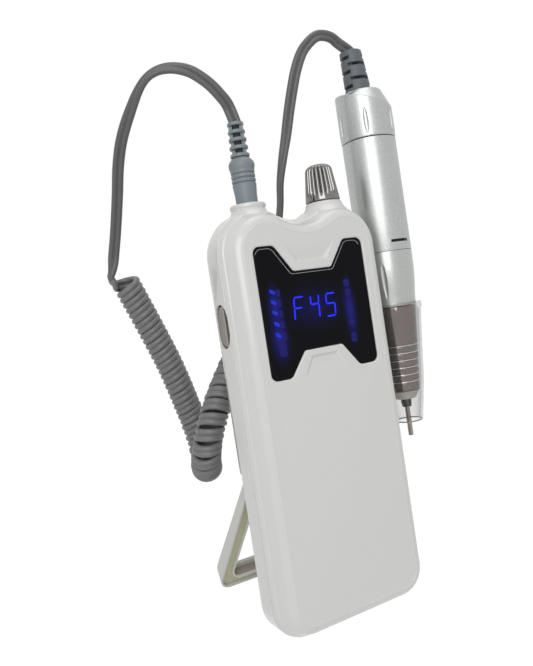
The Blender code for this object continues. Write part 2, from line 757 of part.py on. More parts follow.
def make_rear_cover(case, white):
    cover = solid("rear_cover", loft(rear_rings()), white, case)
    hollow = prism(case_outline(SIDE_WALL), 0, CHANNEL_Y - CHANNEL_WALL, "y")
    combine(cover, helper("rear_hollow", hollow, case))
    combine(cover, helper("upper_hollow", upper_hollow(), case))
    combine(cover, helper("lower_hollow", lower_hollow(), case))
    posts = []
    cuts = []
    start = SCREW_JOINT_DEPTH + FIT_GAP / 2
    seat = CASE_DEPTH - SCREW_SINK - start
    bore = SCREW_SHANK_RADIUS + FIT_GAP
    sink = SCREW_HEAD_RADIUS + FIT_GAP
    for x, z in screw_places().values():
        post = along_y(rod(SCREW_POST_RADIUS, 0, CASE_DEPTH - BACK_WALL / 2 - start))
        posts.append(moved(post, (x, start, z)))
        far = seat + SCREW_SINK + OVERCUT
        profile = [(0, -OVERCUT), (bore, -OVERCUT), (bore, seat), (sink, seat), (sink, far), (0, far)]
        cuts.append(moved(along_y(turned(profile, SMALL_SIDES)), (x, start, z)))
    inner = CHANNEL_X - CHANNEL_WALL - PIN_BOSS_LENGTH
    for side in (-1, 1):
        posts.append(pin_shape(side, PIN_BOSS_RADIUS, inner, PIN_BOSS_LENGTH + CHANNEL_WALL / 2))
    combine(cover, helper("rear_posts", gathered(posts), case), "UNION")
    channels = helper("stand_channels", gathered([stand_channel(-1), stand_channel(1)]), case)
    root = CHANNEL_X + STAND_LEG_WIDTH - STAND_PIN_LENGTH - FIT_GAP
    pins = [pin_shape(s, STAND_PIN_RADIUS + FIT_GAP, root, STAND_PIN_LENGTH) for s in (-1, 1)]
    combine(channels, helper("pin_holes", gathered(pins), case), "UNION")
    combine(cover, channels)
    button = prism(capsule(BUTTON_LENGTH + 2 * FIT_GAP, BUTTON_WIDTH + 2 * FIT_GAP),
                   -CASE_SIDE - OVERCUT, -CASE_SIDE + SIDE_WALL + OVERCUT, "x")
    cuts.append(moved(button, (0, BUTTON_DEPTH_Y, BUTTON_Z)))
    port = prism(capsule(PORT_WIDTH + 2 * FIT_GAP, PORT_HEIGHT + 2 * FIT_GAP), -OVERCUT, SIDE_WALL + OVERCUT)
    cuts.append(moved(spun(port, 90), (0, TOP_MIDDLE_DEPTH, 0)))
    cuts += [holder_screw_shape(s, HOLDER_SCREW_RADIUS + FIT_GAP, OVERCUT) for s in (-1, 1)]
    combine(cover, helper("rear_cuts", gathered(cuts + seat_cutters()), case))
    return cover


def make_cover_screws(case, steel):
    head = CASE_DEPTH - SCREW_SINK + FIT_GAP
    for name, (x, z) in screw_places().items():
        profile = [
            (0, SCREW_HEAD_HEIGHT), (SCREW_HEAD_RADIUS, SCREW_HEAD_HEIGHT), (SCREW_HEAD_RADIUS, 0),
            (SCREW_SHANK_RADIUS, 0), (SCREW_SHANK_RADIUS, -SCREW_LENGTH), (0, -SCREW_LENGTH),
        ]
        shape = along_y(turned(profile, SMALL_SIDES))
        solid("cover_screw_" + name, shape, steel, case, (x, head, z))


def make_display(case, glass, black):
    start = WINDOW_RECESS
    window = prism(window_outline(0.0), start, start + WINDOW_THICKNESS, "y")
    solid("display_window", window, glass, case)
    front = start + WINDOW_THICKNESS + FIT_GAP + WINDOW_LEDGE + FIT_GAP
    half = DISPLAY_WIDTH / 2
    low = WINDOW_CENTRE_Z - DISPLAY_HEIGHT / 2
    module = solid(
        "display_module",
        block((-half, front, low), (half, front + DISPLAY_DEPTH, low + DISPLAY_HEIGHT)),
        black, case,
    )
    cells = []
    for i in (-1, 0, 1):
        centre = i * DISPLAY_WIDTH / 4
        width = DISPLAY_WIDTH / 12
        height = DISPLAY_HEIGHT / 6
        low_corner = (centre - width, front - OVERCUT, WINDOW_CENTRE_Z - height)
        high_corner = (centre + width, front + DISPLAY_DEPTH / 4, WINDOW_CENTRE_Z + height)
        cells.append(block(low_corner, high_corner))
    combine(module, helper("digit_cells", gathered(cells), case))


def make_board(case, green, black):
    half = BOARD_WIDTH / 2
    low = (-half, BOARD_Y, BOARD_BOTTOM)
    high = (half, BOARD_Y + BOARD_THICKNESS, BOARD_BOTTOM + BOARD_HEIGHT)
    board = solid("main_board", block(low, high), green, case)
    holes = []
    for x in (-half + BOARD_HOLE_INSET, half - BOARD_HOLE_INSET):
        for z in (low[2] + BOARD_HOLE_INSET, high[2] - BOARD_HOLE_INSET):
            hole = along_y(rod(BOARD_HOLE_RADIUS, -OVERCUT, BOARD_THICKNESS + OVERCUT))
            holes.append(moved(hole, (x, BOARD_Y, z)))
    combine(board, helper("board_holes", gathered(holes), case))
    stop = button_stop_x()
    low = (stop, BOARD_Y + BOARD_THICKNESS + FIT_GAP, BUTTON_Z - SWITCH_SIZE / 2)
    high = (stop + SWITCH_SIZE, low[1] + SWITCH_SIZE, BUTTON_Z + SWITCH_SIZE / 2)
    solid("button_switch", block(low, high), black, case)


def make_battery(case, wrap, tray_plastic):
    for name, side in (("left", -1), ("right", 1)):
        profile = [
            (0, 0), (CELL_RADIUS, 0), (CELL_RADIUS, CELL_LENGTH * 0.96), (CELL_RADIUS * 0.9, CELL_LENGTH * 0.975),
            (CELL_RADIUS * 0.4, CELL_LENGTH * 0.975), (CELL_RADIUS * 0.4, CELL_LENGTH), (0, CELL_LENGTH),
        ]
        x = side * (CELL_RADIUS + CELL_SPACING / 2)
        solid("battery_cell_" + name, turned(profile, 20), wrap, case, (x, CELL_Y, CELL_FLOOR))
    back = CASE_DEPTH - BACK_WALL - FIT_GAP
    inner = CELL_Y + CELL_RADIUS + FIT_GAP / 2
    lip = back - TRAY_LIP
    low = CELL_FLOOR - FIT_GAP - TRAY_WALL
    high = CELL_TOP + FIT_GAP + TRAY_WALL
    outline = [
        (lip, low), (back, low), (back, high), (lip, high), (lip, high - TRAY_WALL),
        (inner, high - TRAY_WALL), (inner, low + TRAY_WALL), (lip, low + TRAY_WALL),
    ]
    half = 2 * CELL_RADIUS + CELL_SPACING
    solid("battery_tray", prism(outline, -half, half, "x"), tray_plastic, case)


def make_port(case, steel):
    outer = capsule(PORT_WIDTH, PORT_HEIGHT)
    inner = capsule(PORT_WIDTH - 2 * PORT_SHELL, PORT_HEIGHT - 2 * PORT_SHELL)
    back = PORT_LENGTH - 2 * PORT_SHELL
    rings = [(inner, back), (inner, 0), (outer, 0), (outer, PORT_LENGTH)]
    shape = loft([[(x, y, z) for x, y in ring] for ring, z in rings])
    solid("charge_port", shape, steel, case, (0, TOP_MIDDLE_DEPTH, FIT_GAP), (0, 0, pi / 2))


def make_socket(case, white, nickel):
    collar = [
        (COLLAR_RADIUS - RIM_CHAMFER, COLLAR_TOP_Z), (COLLAR_RADIUS, COLLAR_TOP_Z - RIM_CHAMFER),
        (COLLAR_RADIUS, COLLAR_SEAT_Z + FIT_GAP), (SOCKET_NECK_RADIUS + FIT_GAP, COLLAR_SEAT_Z + FIT_GAP),
        (SOCKET_NECK_RADIUS + FIT_GAP, COLLAR_TOP_Z),
    ]
    place_at = (-HUMP_X, TOP_MIDDLE_DEPTH, 0)
    solid("socket_collar", turned(collar), white, case, place_at)
    top = COLLAR_TOP_Z - FIT_GAP
    shoulder = COLLAR_SEAT_Z - SIDE_WALL - SOCKET_NECK_LENGTH / 2
    bottom = top - SOCKET_LENGTH
    bore = PLUG_BARREL_RADIUS + FIT_GAP
    pin_root = top - PLUG_BARREL_LENGTH - FIT_GAP
    socket = [
        (0, bottom), (SOCKET_BODY_RADIUS, bottom), (SOCKET_BODY_RADIUS, shoulder),
        (SOCKET_NECK_RADIUS, shoulder), (SOCKET_NECK_RADIUS, top), (bore, top), (bore, pin_root),
        (SOCKET_PIN_RADIUS, pin_root), (SOCKET_PIN_RADIUS, top - FIT_GAP), (0, top - FIT_GAP),
    ]
    solid("output_socket", turned(socket, 20), nickel, case, place_at)


def plug_profile():
    """Overmoulded plug: barrel with ring grooves, bulge, neck and tapered relief with its bore."""
    points = [(PLUG_BARREL_BORE, 0), (PLUG_BODY_RADIUS, 0)]
    start = PLUG_BODY_LENGTH - (PLUG_GROOVES + 0.5) * PLUG_GROOVE_PITCH
    for i in range(PLUG_GROOVES):
        level = start + i * PLUG_GROOVE_PITCH
        points += [(PLUG_BODY_RADIUS, level), (PLUG_BODY_RADIUS - PLUG_GROOVE_DEPTH, level + PLUG_GROOVE_PITCH / 4),
                   (PLUG_BODY_RADIUS, level + PLUG_GROOVE_PITCH / 2)]
    points += [(PLUG_BODY_RADIUS, PLUG_BODY_LENGTH)]
    bulge = PLUG_BODY_LENGTH + PLUG_BULGE_LENGTH
    points += [(PLUG_BULGE_RADIUS, PLUG_BODY_LENGTH + PLUG_BULGE_LENGTH * 0.3),
               (PLUG_BULGE_RADIUS, PLUG_BODY_LENGTH + PLUG_BULGE_LENGTH * 0.6), (PLUG_NECK_RADIUS, bulge)]
    relief = bulge + PLUG_RELIEF_LENGTH
    points += [(PLUG_NECK_RADIUS, bulge + PLUG_RELIEF_LENGTH * 0.05),
               (PLUG_RELIEF_RADIUS, bulge + PLUG_RELIEF_LENGTH * 0.1), (PLUG_RELIEF_TIP_RADIUS, relief)]
    return points + [(PLUG_BARREL_BORE, relief)]


def relief_slots(count, low, pitch, height, reach, core):
    """Slots down a strain relief, each row turned a quarter from the last, leaving a core."""
    slots = []
    for i in range(count):
        level = low + (i + 0.5) * pitch
        for side in (-1, 1):
            spans = sorted((side * core, side * (reach + OVERCUT)))
            low_corner = (spans[0], -reach * 0.62, level - height / 2)
            high_corner = (spans[1], reach * 0.62, level + height / 2)
            slots.append(spun(block(low_corner, high_corner), 90 * (i % 2)))
    return gathered(slots)


def make_plug(case, grey, nickel):
    plug = empty("plug_frame", case, (-HUMP_X, TOP_MIDDLE_DEPTH, COLLAR_TOP_Z + FIT_GAP))
    body = solid("plug_body", turned(plug_profile(), 20), grey, plug)
    low = PLUG_BODY_LENGTH + PLUG_BULGE_LENGTH + PLUG_RELIEF_LENGTH * 0.12
    pitch = PLUG_RELIEF_LENGTH * 0.8 / RELIEF_WINDOWS
    slots = relief_slots(RELIEF_WINDOWS, low, pitch, RELIEF_WINDOW_HEIGHT, PLUG_RELIEF_RADIUS, CORD_RADIUS)
    combine(body, helper("plug_slots", slots, plug))
    high = -FIT_GAP
    barrel = tube_profile(PLUG_BARREL_RADIUS, PLUG_BARREL_BORE, -PLUG_BARREL_LENGTH - FIT_GAP, high)
    solid("plug_barrel", turned(barrel, SMALL_SIDES), nickel, plug)
    return plug


def make_speed_control(case, white, steel, chrome):
    spot = (HUMP_X, TOP_MIDDLE_DEPTH, 0)
    bore = POT_NECK_RADIUS + FIT_GAP
    low = COLLAR_SEAT_Z + FIT_GAP
    seat = [
        (bore, low), (SEAT_RADIUS, low), (SEAT_RADIUS, KNOB_SEAT_TOP_Z - RIM_CHAMFER),
        (SEAT_RADIUS - RIM_CHAMFER, KNOB_SEAT_TOP_Z), (bore, KNOB_SEAT_TOP_Z),
    ]
    solid("knob_seat", turned(seat), white, case, spot)
    nut_low = KNOB_SEAT_TOP_Z + FIT_GAP
    neck_top = nut_low + NUT_HEIGHT + FIT_GAP
    neck_low = neck_top - POT_NECK_LENGTH
    hole = POT_SHAFT_RADIUS + FIT_GAP
    floor = neck_low - POT_HEIGHT
    body = [
        (0, floor), (POT_RADIUS, floor), (POT_RADIUS, neck_low), (POT_NECK_RADIUS, neck_low),
        (POT_NECK_RADIUS, neck_top), (hole, neck_top), (hole, neck_low), (0, neck_low),
    ]
    solid("potentiometer", turned(body, 20), steel, case, spot)
    hexagon = circle(NUT_WIDTH / 2, 6)
    nut = loft([
        [(x, y, z) for x, y in ring]
        for ring, z in ((hexagon, nut_low), (hexagon, nut_low + NUT_HEIGHT))
    ])
    nut_piece = solid("control_nut", nut, steel, case, spot)
    thread = rod(bore, nut_low - OVERCUT, neck_top + OVERCUT)
    combine(nut_piece, helper("nut_thread", thread, case, spot))
    turn = empty("knob_frame", case, (HUMP_X, TOP_MIDDLE_DEPTH, KNOB_SEAT_TOP_Z + FIT_GAP))
    shaft_low = neck_low - KNOB_SEAT_TOP_Z
    shaft_top = KNOB_BORE_DEPTH - FIT_GAP
    solid("control_shaft", rod(POT_SHAFT_RADIUS, shaft_low, shaft_top), steel, turn)
    make_knob(turn, chrome)


def fluted_ring(radius, height, depth):
    """Ring scalloped into flutes, three points to a flute."""
    count = 3 * KNOB_FLUTES
    points = []
    for i in range(count):
        reach = radius - depth * (0, 1, 1)[i % 3]
        angle = 2 * pi * i / count
        points.append((reach * cos(angle), reach * sin(angle), height))
    return points


def make_knob(turn, chrome):
    crown = KNOB_HEIGHT - KNOB_CROWN
    rings = [fluted_ring(POT_SHAFT_RADIUS + FIT_GAP, KNOB_BORE_DEPTH, 0)]
    rings.append(fluted_ring(POT_SHAFT_RADIUS + FIT_GAP, KNOB_POCKET_DEPTH, 0))
    rings.append(fluted_ring(KNOB_POCKET_RADIUS, KNOB_POCKET_DEPTH, 0))
    rings.append(fluted_ring(KNOB_POCKET_RADIUS, 0, 0))
    rings.append(fluted_ring(KNOB_BASE_RADIUS, 0, 0))
    rings.append(fluted_ring(KNOB_BASE_RADIUS, KNOB_HEIGHT * 0.06, 0))
    rings.append(fluted_ring(KNOB_BASE_RADIUS, KNOB_HEIGHT * 0.1, KNOB_FLUTE_DEPTH))
    rings.append(fluted_ring(KNOB_TOP_RADIUS, crown, KNOB_FLUTE_DEPTH))
    rings.append(fluted_ring(KNOB_TOP_RADIUS * 0.86, crown + KNOB_CROWN * 0.62, KNOB_FLUTE_DEPTH * 0.5))
    rings.append(fluted_ring(KNOB_TOP_RADIUS * 0.55, KNOB_HEIGHT, 0))
    solid("speed_knob", loft(rings), chrome, turn)


def button_stop_x():
    """Where the switch's plunger face stands, one travel and a gap behind the button's stem."""
    face = -CASE_SIDE + BUTTON_RECESS
    flange = -CASE_SIDE + SIDE_WALL + FIT_GAP
    stem = flange + BUTTON_FLANGE_THICKNESS + BUTTON_STEM_LENGTH
    return max(face, stem) + BUTTON_TRAVEL + FIT_GAP


def make_button(case, chrome):
    frame = empty("button_frame", case, (-CASE_SIDE, BUTTON_DEPTH_Y, BUTTON_Z))
    outline = capsule(BUTTON_LENGTH, BUTTON_WIDTH)
    flange = capsule(BUTTON_LENGTH + 2 * BUTTON_FLANGE, BUTTON_WIDTH + 2 * BUTTON_FLANGE)
    stem = circle(BUTTON_STEM_RADIUS, len(outline))
    dome = capsule(BUTTON_LENGTH - 2 * RIM_CHAMFER, BUTTON_WIDTH - 2 * RIM_CHAMFER)
    inside = SIDE_WALL + FIT_GAP
    behind = inside + BUTTON_FLANGE_THICKNESS
    levels = [
        (dome, BUTTON_RECESS), (outline, BUTTON_RECESS + RIM_CHAMFER), (outline, inside), (flange, inside),
        (flange, behind), (stem, behind), (stem, behind + BUTTON_STEM_LENGTH),
    ]
    rings = [[(x, y, z) for y, z in ring] for ring, x in levels]
    solid("direction_button", loft(rings), chrome, frame)


def stand_open_angle():
    """Angle of the open stand from the case's back, from its reach and its hinge's height."""
    rise = (STAND_HINGE_Z - HEEL_Z) * cos(radians(LEAN_ANGLE))
    drop = (STAND_HINGE_Y - HEEL_Y) * sin(radians(LEAN_ANGLE))
    return LEAN_ANGLE + degrees(acos((rise - drop) / STAND_REACH)), rise - drop


def make_stand(case, white, steel):
    top = STAND_TOP_WIDTH / 2
    foot = STAND_FOOT_WIDTH / 2
    end = -STAND_REACH - STAND_BAR_WIDTH / 3
    bar = end + STAND_BAR_WIDTH
    leg = STAND_LEG_WIDTH
    corners = [
        (top, 0), (top - leg, 0), (foot - leg, bar), (-foot + leg, bar),
        (-top + leg, 0), (-top, 0), (-foot, end), (foot, end),
    ]
    inner = STAND_CORNER_RADIUS - STAND_BAR_WIDTH
    sharp = STAND_THICKNESS / 50
    outline = rounded(corners, [sharp, sharp, inner, inner, sharp, sharp, STAND_CORNER_RADIUS, STAND_CORNER_RADIUS])
    half = STAND_THICKNESS / 2
    angle, hinge_height = stand_open_angle()
    shape = prism(outline, -half, half, "y")
    tilt = radians(angle - LEAN_ANGLE)
    down = Vector((0, -sin(tilt), -cos(tilt)))
    geometry = shape.verts[:] + shape.edges[:] + shape.faces[:]
    cut = bmesh.ops.bisect_plane(
        shape, geom=geometry, plane_co=down * hinge_height, plane_no=down, clear_outer=True,
    )
    edges = [item for item in cut["geom_cut"] if isinstance(item, bmesh.types.BMEdge)]
    bmesh.ops.holes_fill(shape, edges=edges)
    spot = (0, STAND_HINGE_Y, STAND_HINGE_Z)
    open_turn = (radians(angle), 0, 0)
    stand = solid("kickstand", shape, white, case, spot, open_turn)
    knuckles = []
    bores = []
    for low in (-top, top - leg):
        knuckles.append(moved(along_x(rod(KNUCKLE_RADIUS, 0, leg)), (low, 0, 0)))
        bores.append(moved(along_x(rod(STAND_PIN_RADIUS + FIT_GAP, -OVERCUT, leg + OVERCUT)), (low, 0, 0)))
    combine(stand, helper("knuckles", gathered(knuckles), case, spot, open_turn), "UNION")
    combine(stand, helper("knuckle_bores", gathered(bores), case, spot, open_turn))
    start = CHANNEL_X + STAND_LEG_WIDTH - STAND_PIN_LENGTH
    for name, side in (("left", -1), ("right", 1)):
        solid("stand_pin_" + name, pin_shape(side, STAND_PIN_RADIUS, start, STAND_PIN_LENGTH), steel, case)


def holder_pad_z():
    top = GRIP_JOINT_Z + HOLDER_TOP_ABOVE_JOINT
    low = top - HOLDER_HEIGHT
    return low + FIT_GAP, low + FIT_GAP + HOLDER_PAD_HEIGHT


def holder_screw_shape(side, radius, extra=0.0, head=False):
    """Screw from inside the case through its wall into the holder's pad."""
    low, high = holder_pad_z()
    z = (low + high) / 2 + side * HOLDER_SCREW_PITCH / 2
    y = HANDPIECE_DEPTH_Y - HOLDER_LEFT_ARM - HOLDER_PAD_DEPTH / 3
    seat = -SIDE_WALL - FIT_GAP
    tip = HOLDER_PAD + FIT_GAP
    profile = [(0, seat - extra), (radius, seat - extra), (radius, tip + extra / 10), (0, tip + extra / 10)]
    if head:
        profile = [
            (0, seat - HOLDER_SCREW_HEAD), (HOLDER_SCREW_HEAD, seat - HOLDER_SCREW_HEAD / 2),
            (HOLDER_SCREW_HEAD, seat), (radius, seat), (radius, tip), (0, tip),
        ]
    return moved(along_x(turned(profile, 12)), (CASE_SIDE, y, z))


def make_holder(case, white, steel):
    top = GRIP_JOINT_Z + HOLDER_TOP_ABOVE_JOINT
    outer = HOLDER_BORE + HOLDER_WALL
    outline = [(-outer, -HOLDER_LEFT_ARM)]
    outline += arc(0, 0, outer, 180, 0, 14)
    outline += [(outer, -HOLDER_RIGHT_ARM), (HOLDER_BORE, -HOLDER_RIGHT_ARM)]
    outline += arc(0, 0, HOLDER_BORE, 0, 180, 14)
    outline += [(-HOLDER_BORE, -HOLDER_LEFT_ARM)]
    points = [(x + HANDPIECE_X, y + HANDPIECE_DEPTH_Y) for x, y in outline]
    holder = solid("handpiece_holder", prism(points, top - HOLDER_HEIGHT, top), white, case)
    low, high = holder_pad_z()
    back = HANDPIECE_DEPTH_Y - HOLDER_LEFT_ARM + HOLDER_WALL
    front = HANDPIECE_DEPTH_Y - HOLDER_LEFT_ARM - HOLDER_PAD_DEPTH * 2 / 3
    inner = CASE_SIDE + FIT_GAP
    pad = block((inner, front, low), (HANDPIECE_X - HOLDER_BORE - FIT_GAP, back, high))
    combine(holder, helper("holder_pad", pad, case), "UNION")
    holes = [holder_screw_shape(s, HOLDER_SCREW_RADIUS + FIT_GAP, OVERCUT) for s in (-1, 1)]
    combine(holder, helper("pad_holes", gathered(holes), case))
    for name, side in (("lower", -1), ("upper", 1)):
        shape = holder_screw_shape(side, HOLDER_SCREW_RADIUS, head=True)
        solid("holder_screw_" + name, shape, steel, case)


def cap_groove(angle):
    """Oval finger groove in the rear cap."""
    outline = capsule(CAP_GROOVE_LENGTH, CAP_GROOVE_WIDTH, 4)
    middle = BODY_TOP_Z + (REAR_CAP_LENGTH - REAR_CAP_SHOULDER) / 2 + FIT_GAP
    shape = prism(outline, REAR_CAP_RADIUS - CAP_GROOVE_DEPTH, REAR_CAP_RADIUS + OVERCUT, "x")
    return spun(moved(shape, (0, 0, middle)), angle)


def make_rear_cap(hand, silver, dark):
    low = BODY_TOP_Z + FIT_GAP / 2
    shoulder = REAR_CAP_TOP_Z - REAR_CAP_SHOULDER
    bore = BOOT_SPIGOT_RADIUS + FIT_GAP
    roof = REAR_CAP_TOP_Z - REAR_CAP_TOP_WALL
    run = REAR_CAP_RADIUS - REAR_CAP_TOP_RADIUS
    rim = [(BODY_RADIUS, low), (REAR_CAP_RADIUS, low + BODY_WALL), (REAR_CAP_RADIUS, shoulder)]
    curve = [
        (REAR_CAP_TOP_RADIUS + run * cos(a), shoulder + REAR_CAP_SHOULDER * sin(a))
        for a in (radians(22.5 * i) for i in range(1, 5))
    ]
    inside = [(bore, REAR_CAP_TOP_Z), (bore, roof), (REAR_CAP_TOP_RADIUS - BODY_WALL, roof), (INNER_BORE, shoulder),
              (INNER_BORE, low)]
    cap = solid("rear_cap", turned(rim + curve + inside), silver, hand)
    grooves = gathered([cap_groove(360 * i / CAP_GROOVES + 15) for i in range(CAP_GROOVES)])
    combine(cap, helper("cap_grooves", grooves, hand))
    base = REAR_CAP_TOP_Z + FIT_GAP
    top = REAR_CAP_TOP_Z + BOOT_LENGTH
    boot = [
        (CORD_RADIUS - FIT_GAP, base - BOOT_SPIGOT_LENGTH), (BOOT_SPIGOT_RADIUS, base - BOOT_SPIGOT_LENGTH),
        (BOOT_SPIGOT_RADIUS, base), (BOOT_BASE_RADIUS, base), (BOOT_BASE_RADIUS, base + BOOT_LENGTH * 0.12),
        (BOOT_TIP_RADIUS, top), (CORD_RADIUS - FIT_GAP, top),
    ]
    relief = solid("cord_boot", turned(boot, 20), dark, hand)
    pitch = BOOT_LENGTH * 0.78 / BOOT_SLOT_ROWS
    low = base + BOOT_LENGTH * 0.14
    slots = relief_slots(BOOT_SLOT_ROWS, low, pitch, BOOT_SLOT_HEIGHT, BOOT_BASE_RADIUS, BOOT_SPIGOT_RADIUS)
    combine(relief, helper("boot_slots", slots, hand))


def slot_wedge():
    """Curved slot through the body in which the lock pin travels."""
    half = TWIST_ANGLE / 2 + degrees((LOCK_PIN_RADIUS + FIT_GAP) / BODY_RADIUS)
    start, end = SLOT_CENTRE_ANGLE - half, SLOT_CENTRE_ANGLE + half
    outline = arc(0, 0, BODY_RADIUS + OVERCUT, start, end, 8)
    outline += arc(0, 0, INNER_BORE - OVERCUT / 2, end, start, 8)
    middle = GRIP_JOINT_Z + SLOT_ABOVE_JOINT
    return prism(outline, middle - SLOT_HEIGHT / 2, middle + SLOT_HEIGHT / 2)


def make_body(hand, silver):
    low = GRIP_JOINT_Z + FIT_GAP / 2
    high = BODY_TOP_Z - FIT_GAP / 2
    edge = RIM_CHAMFER
    profile = [
        (BODY_RADIUS - edge, low), (BODY_RADIUS, low + edge), (BODY_RADIUS, high - edge),
        (BODY_RADIUS - edge, high), (INNER_BORE, high), (INNER_BORE, low),
    ]
    body = solid("handpiece_body", turned(profile), silver, hand)
    combine(body, helper("lock_slot", slot_wedge(), hand))


def make_motor(hand, spindle, steel, dark, copper):
    low = MOTOR_BASE_Z
    high = low + MOTOR_LENGTH
    inner = MOTOR_RADIUS - MOTOR_WALL
    hole = MOTOR_SHAFT_RADIUS + FIT_GAP
    can = [(hole, low), (MOTOR_RADIUS, low), (MOTOR_RADIUS, high), (inner, high), (inner, low + MOTOR_WALL),
           (hole, low + MOTOR_WALL)]
    solid("motor_can", turned(can, 20), steel, hand)
    ring = inner - FIT_GAP
    start = low + MOTOR_WALL + FIT_GAP
    magnet = tube_profile(ring, ring - MAGNET_THICKNESS, start, start + MAGNET_LENGTH)
    solid("motor_magnet", turned(magnet, 20), dark, hand)
    cap_low = high + FIT_GAP
    cap_high = cap_low + BRUSH_CAP_LENGTH
    cap = [(hole, cap_high - MOTOR_WALL), (COMMUTATOR_RADIUS + BRUSH_LENGTH + FIT_GAP, cap_high - MOTOR_WALL),
           (COMMUTATOR_RADIUS + BRUSH_LENGTH + FIT_GAP, cap_low), (MOTOR_RADIUS, cap_low), (MOTOR_RADIUS, cap_high),
           (hole, cap_high)]
    solid("brush_cap", turned(cap, 20), dark, hand)
    middle = cap_low + (BRUSH_CAP_LENGTH - MOTOR_WALL) / 2
    for name, side in (("left", -1), ("right", 1)):
        spans = sorted(side * (COMMUTATOR_RADIUS + FIT_GAP + reach) for reach in (0, BRUSH_LENGTH - 2 * FIT_GAP))
        brush = block((spans[0], -BRUSH_WIDTH / 2, middle - BRUSH_WIDTH / 2),
                      (spans[1], BRUSH_WIDTH / 2, middle + BRUSH_WIDTH / 2))
        solid("carbon_brush_" + name, brush, dark, hand)
    core = start + (MAGNET_LENGTH - ROTOR_LENGTH) / 2
    shaft_low = coupling_low() + COUPLING_LENGTH / 2
    shaft_high = cap_high + OVERCUT / 2
    commutator = middle - COMMUTATOR_LENGTH / 2
    rotor = [
        (0, shaft_low), (MOTOR_SHAFT_RADIUS, shaft_low), (MOTOR_SHAFT_RADIUS, core), (ROTOR_RADIUS, core),
        (ROTOR_RADIUS, core + ROTOR_LENGTH), (MOTOR_SHAFT_RADIUS, core + ROTOR_LENGTH),
        (MOTOR_SHAFT_RADIUS, commutator), (COMMUTATOR_RADIUS, commutator),
        (COMMUTATOR_RADIUS, commutator + COMMUTATOR_LENGTH - FIT_GAP),
        (MOTOR_SHAFT_RADIUS, commutator + COMMUTATOR_LENGTH - FIT_GAP), (MOTOR_SHAFT_RADIUS, shaft_high),
        (0, shaft_high),
    ]
    armature = solid("motor_rotor", turned(rotor, 20), copper, spindle)
    slots = []
    for i in range(ROTOR_SLOTS):
        width = MOTOR_SHAFT_RADIUS / 2
        deep = ROTOR_RADIUS * 0.55
        shape = block((deep, -width, core - OVERCUT), (ROTOR_RADIUS + OVERCUT, width, core + ROTOR_LENGTH + OVERCUT))
        slots.append(spun(shape, 360 * i / ROTOR_SLOTS))
    combine(armature, helper("rotor_slots", gathered(slots), spindle))


def coupling_low():
    return MOTOR_BASE_Z - FIT_GAP - COUPLING_LENGTH - OVERCUT


def make_sleeve(sleeve, silver, chrome, pale, steel):
    low = SLEEVE_END_Z
    high = GRIP_JOINT_Z - FIT_GAP / 2
    bore = SLEEVE_END_RADIUS - SLEEVE_WALL
    spigot = INNER_BORE - SLIDE_GAP
    top = GRIP_JOINT_Z + SLEEVE_SPIGOT_LENGTH
    middle = low + SLEEVE_LENGTH * 0.32
    profile = [
        (SLEEVE_END_RADIUS, low), ((SLEEVE_END_RADIUS + BODY_RADIUS) / 2, middle),
        (BODY_RADIUS, high - SLEEVE_LENGTH * 0.2), (BODY_RADIUS, high), (spigot, high), (spigot, top), (bore, top),
        (bore, low),
    ]
    piece = solid("grip_sleeve", turned(profile), silver, sleeve)
    angle = SLOT_CENTRE_ANGLE + TWIST_ANGLE / 2
    level = GRIP_JOINT_Z + SLOT_ABOVE_JOINT
    inner = bore + FIT_GAP
    hole = spun(along_x(rod(LOCK_PIN_RADIUS + FIT_GAP / 2, bore - OVERCUT, spigot + OVERCUT, 12)), angle)
    combine(piece, helper("pin_hole", moved(hole, (0, 0, level)), sleeve))
    pin = spun(along_x(rod(LOCK_PIN_RADIUS, inner, BODY_RADIUS - FIT_GAP, 12)), angle)
    solid("lock_pin", moved(pin, (0, 0, level)), steel, sleeve)
    make_nose(sleeve, bore, chrome, pale)
    race = SPINDLE_RADIUS + FIT_GAP
    first = NOSE_TIP_Z + BEARING_FROM_TIP
    second = NOSE_TOP_Z + NOSE_SPIGOT_LENGTH - BEARING_WIDTH - BEARING_FROM_TIP
    for name, start in (("front", first), ("rear", second)):
        ring = tube_profile(BEARING_RADIUS, race, start, start + BEARING_WIDTH)
        solid(name + "_bearing", turned(ring, SMALL_SIDES), steel, sleeve)


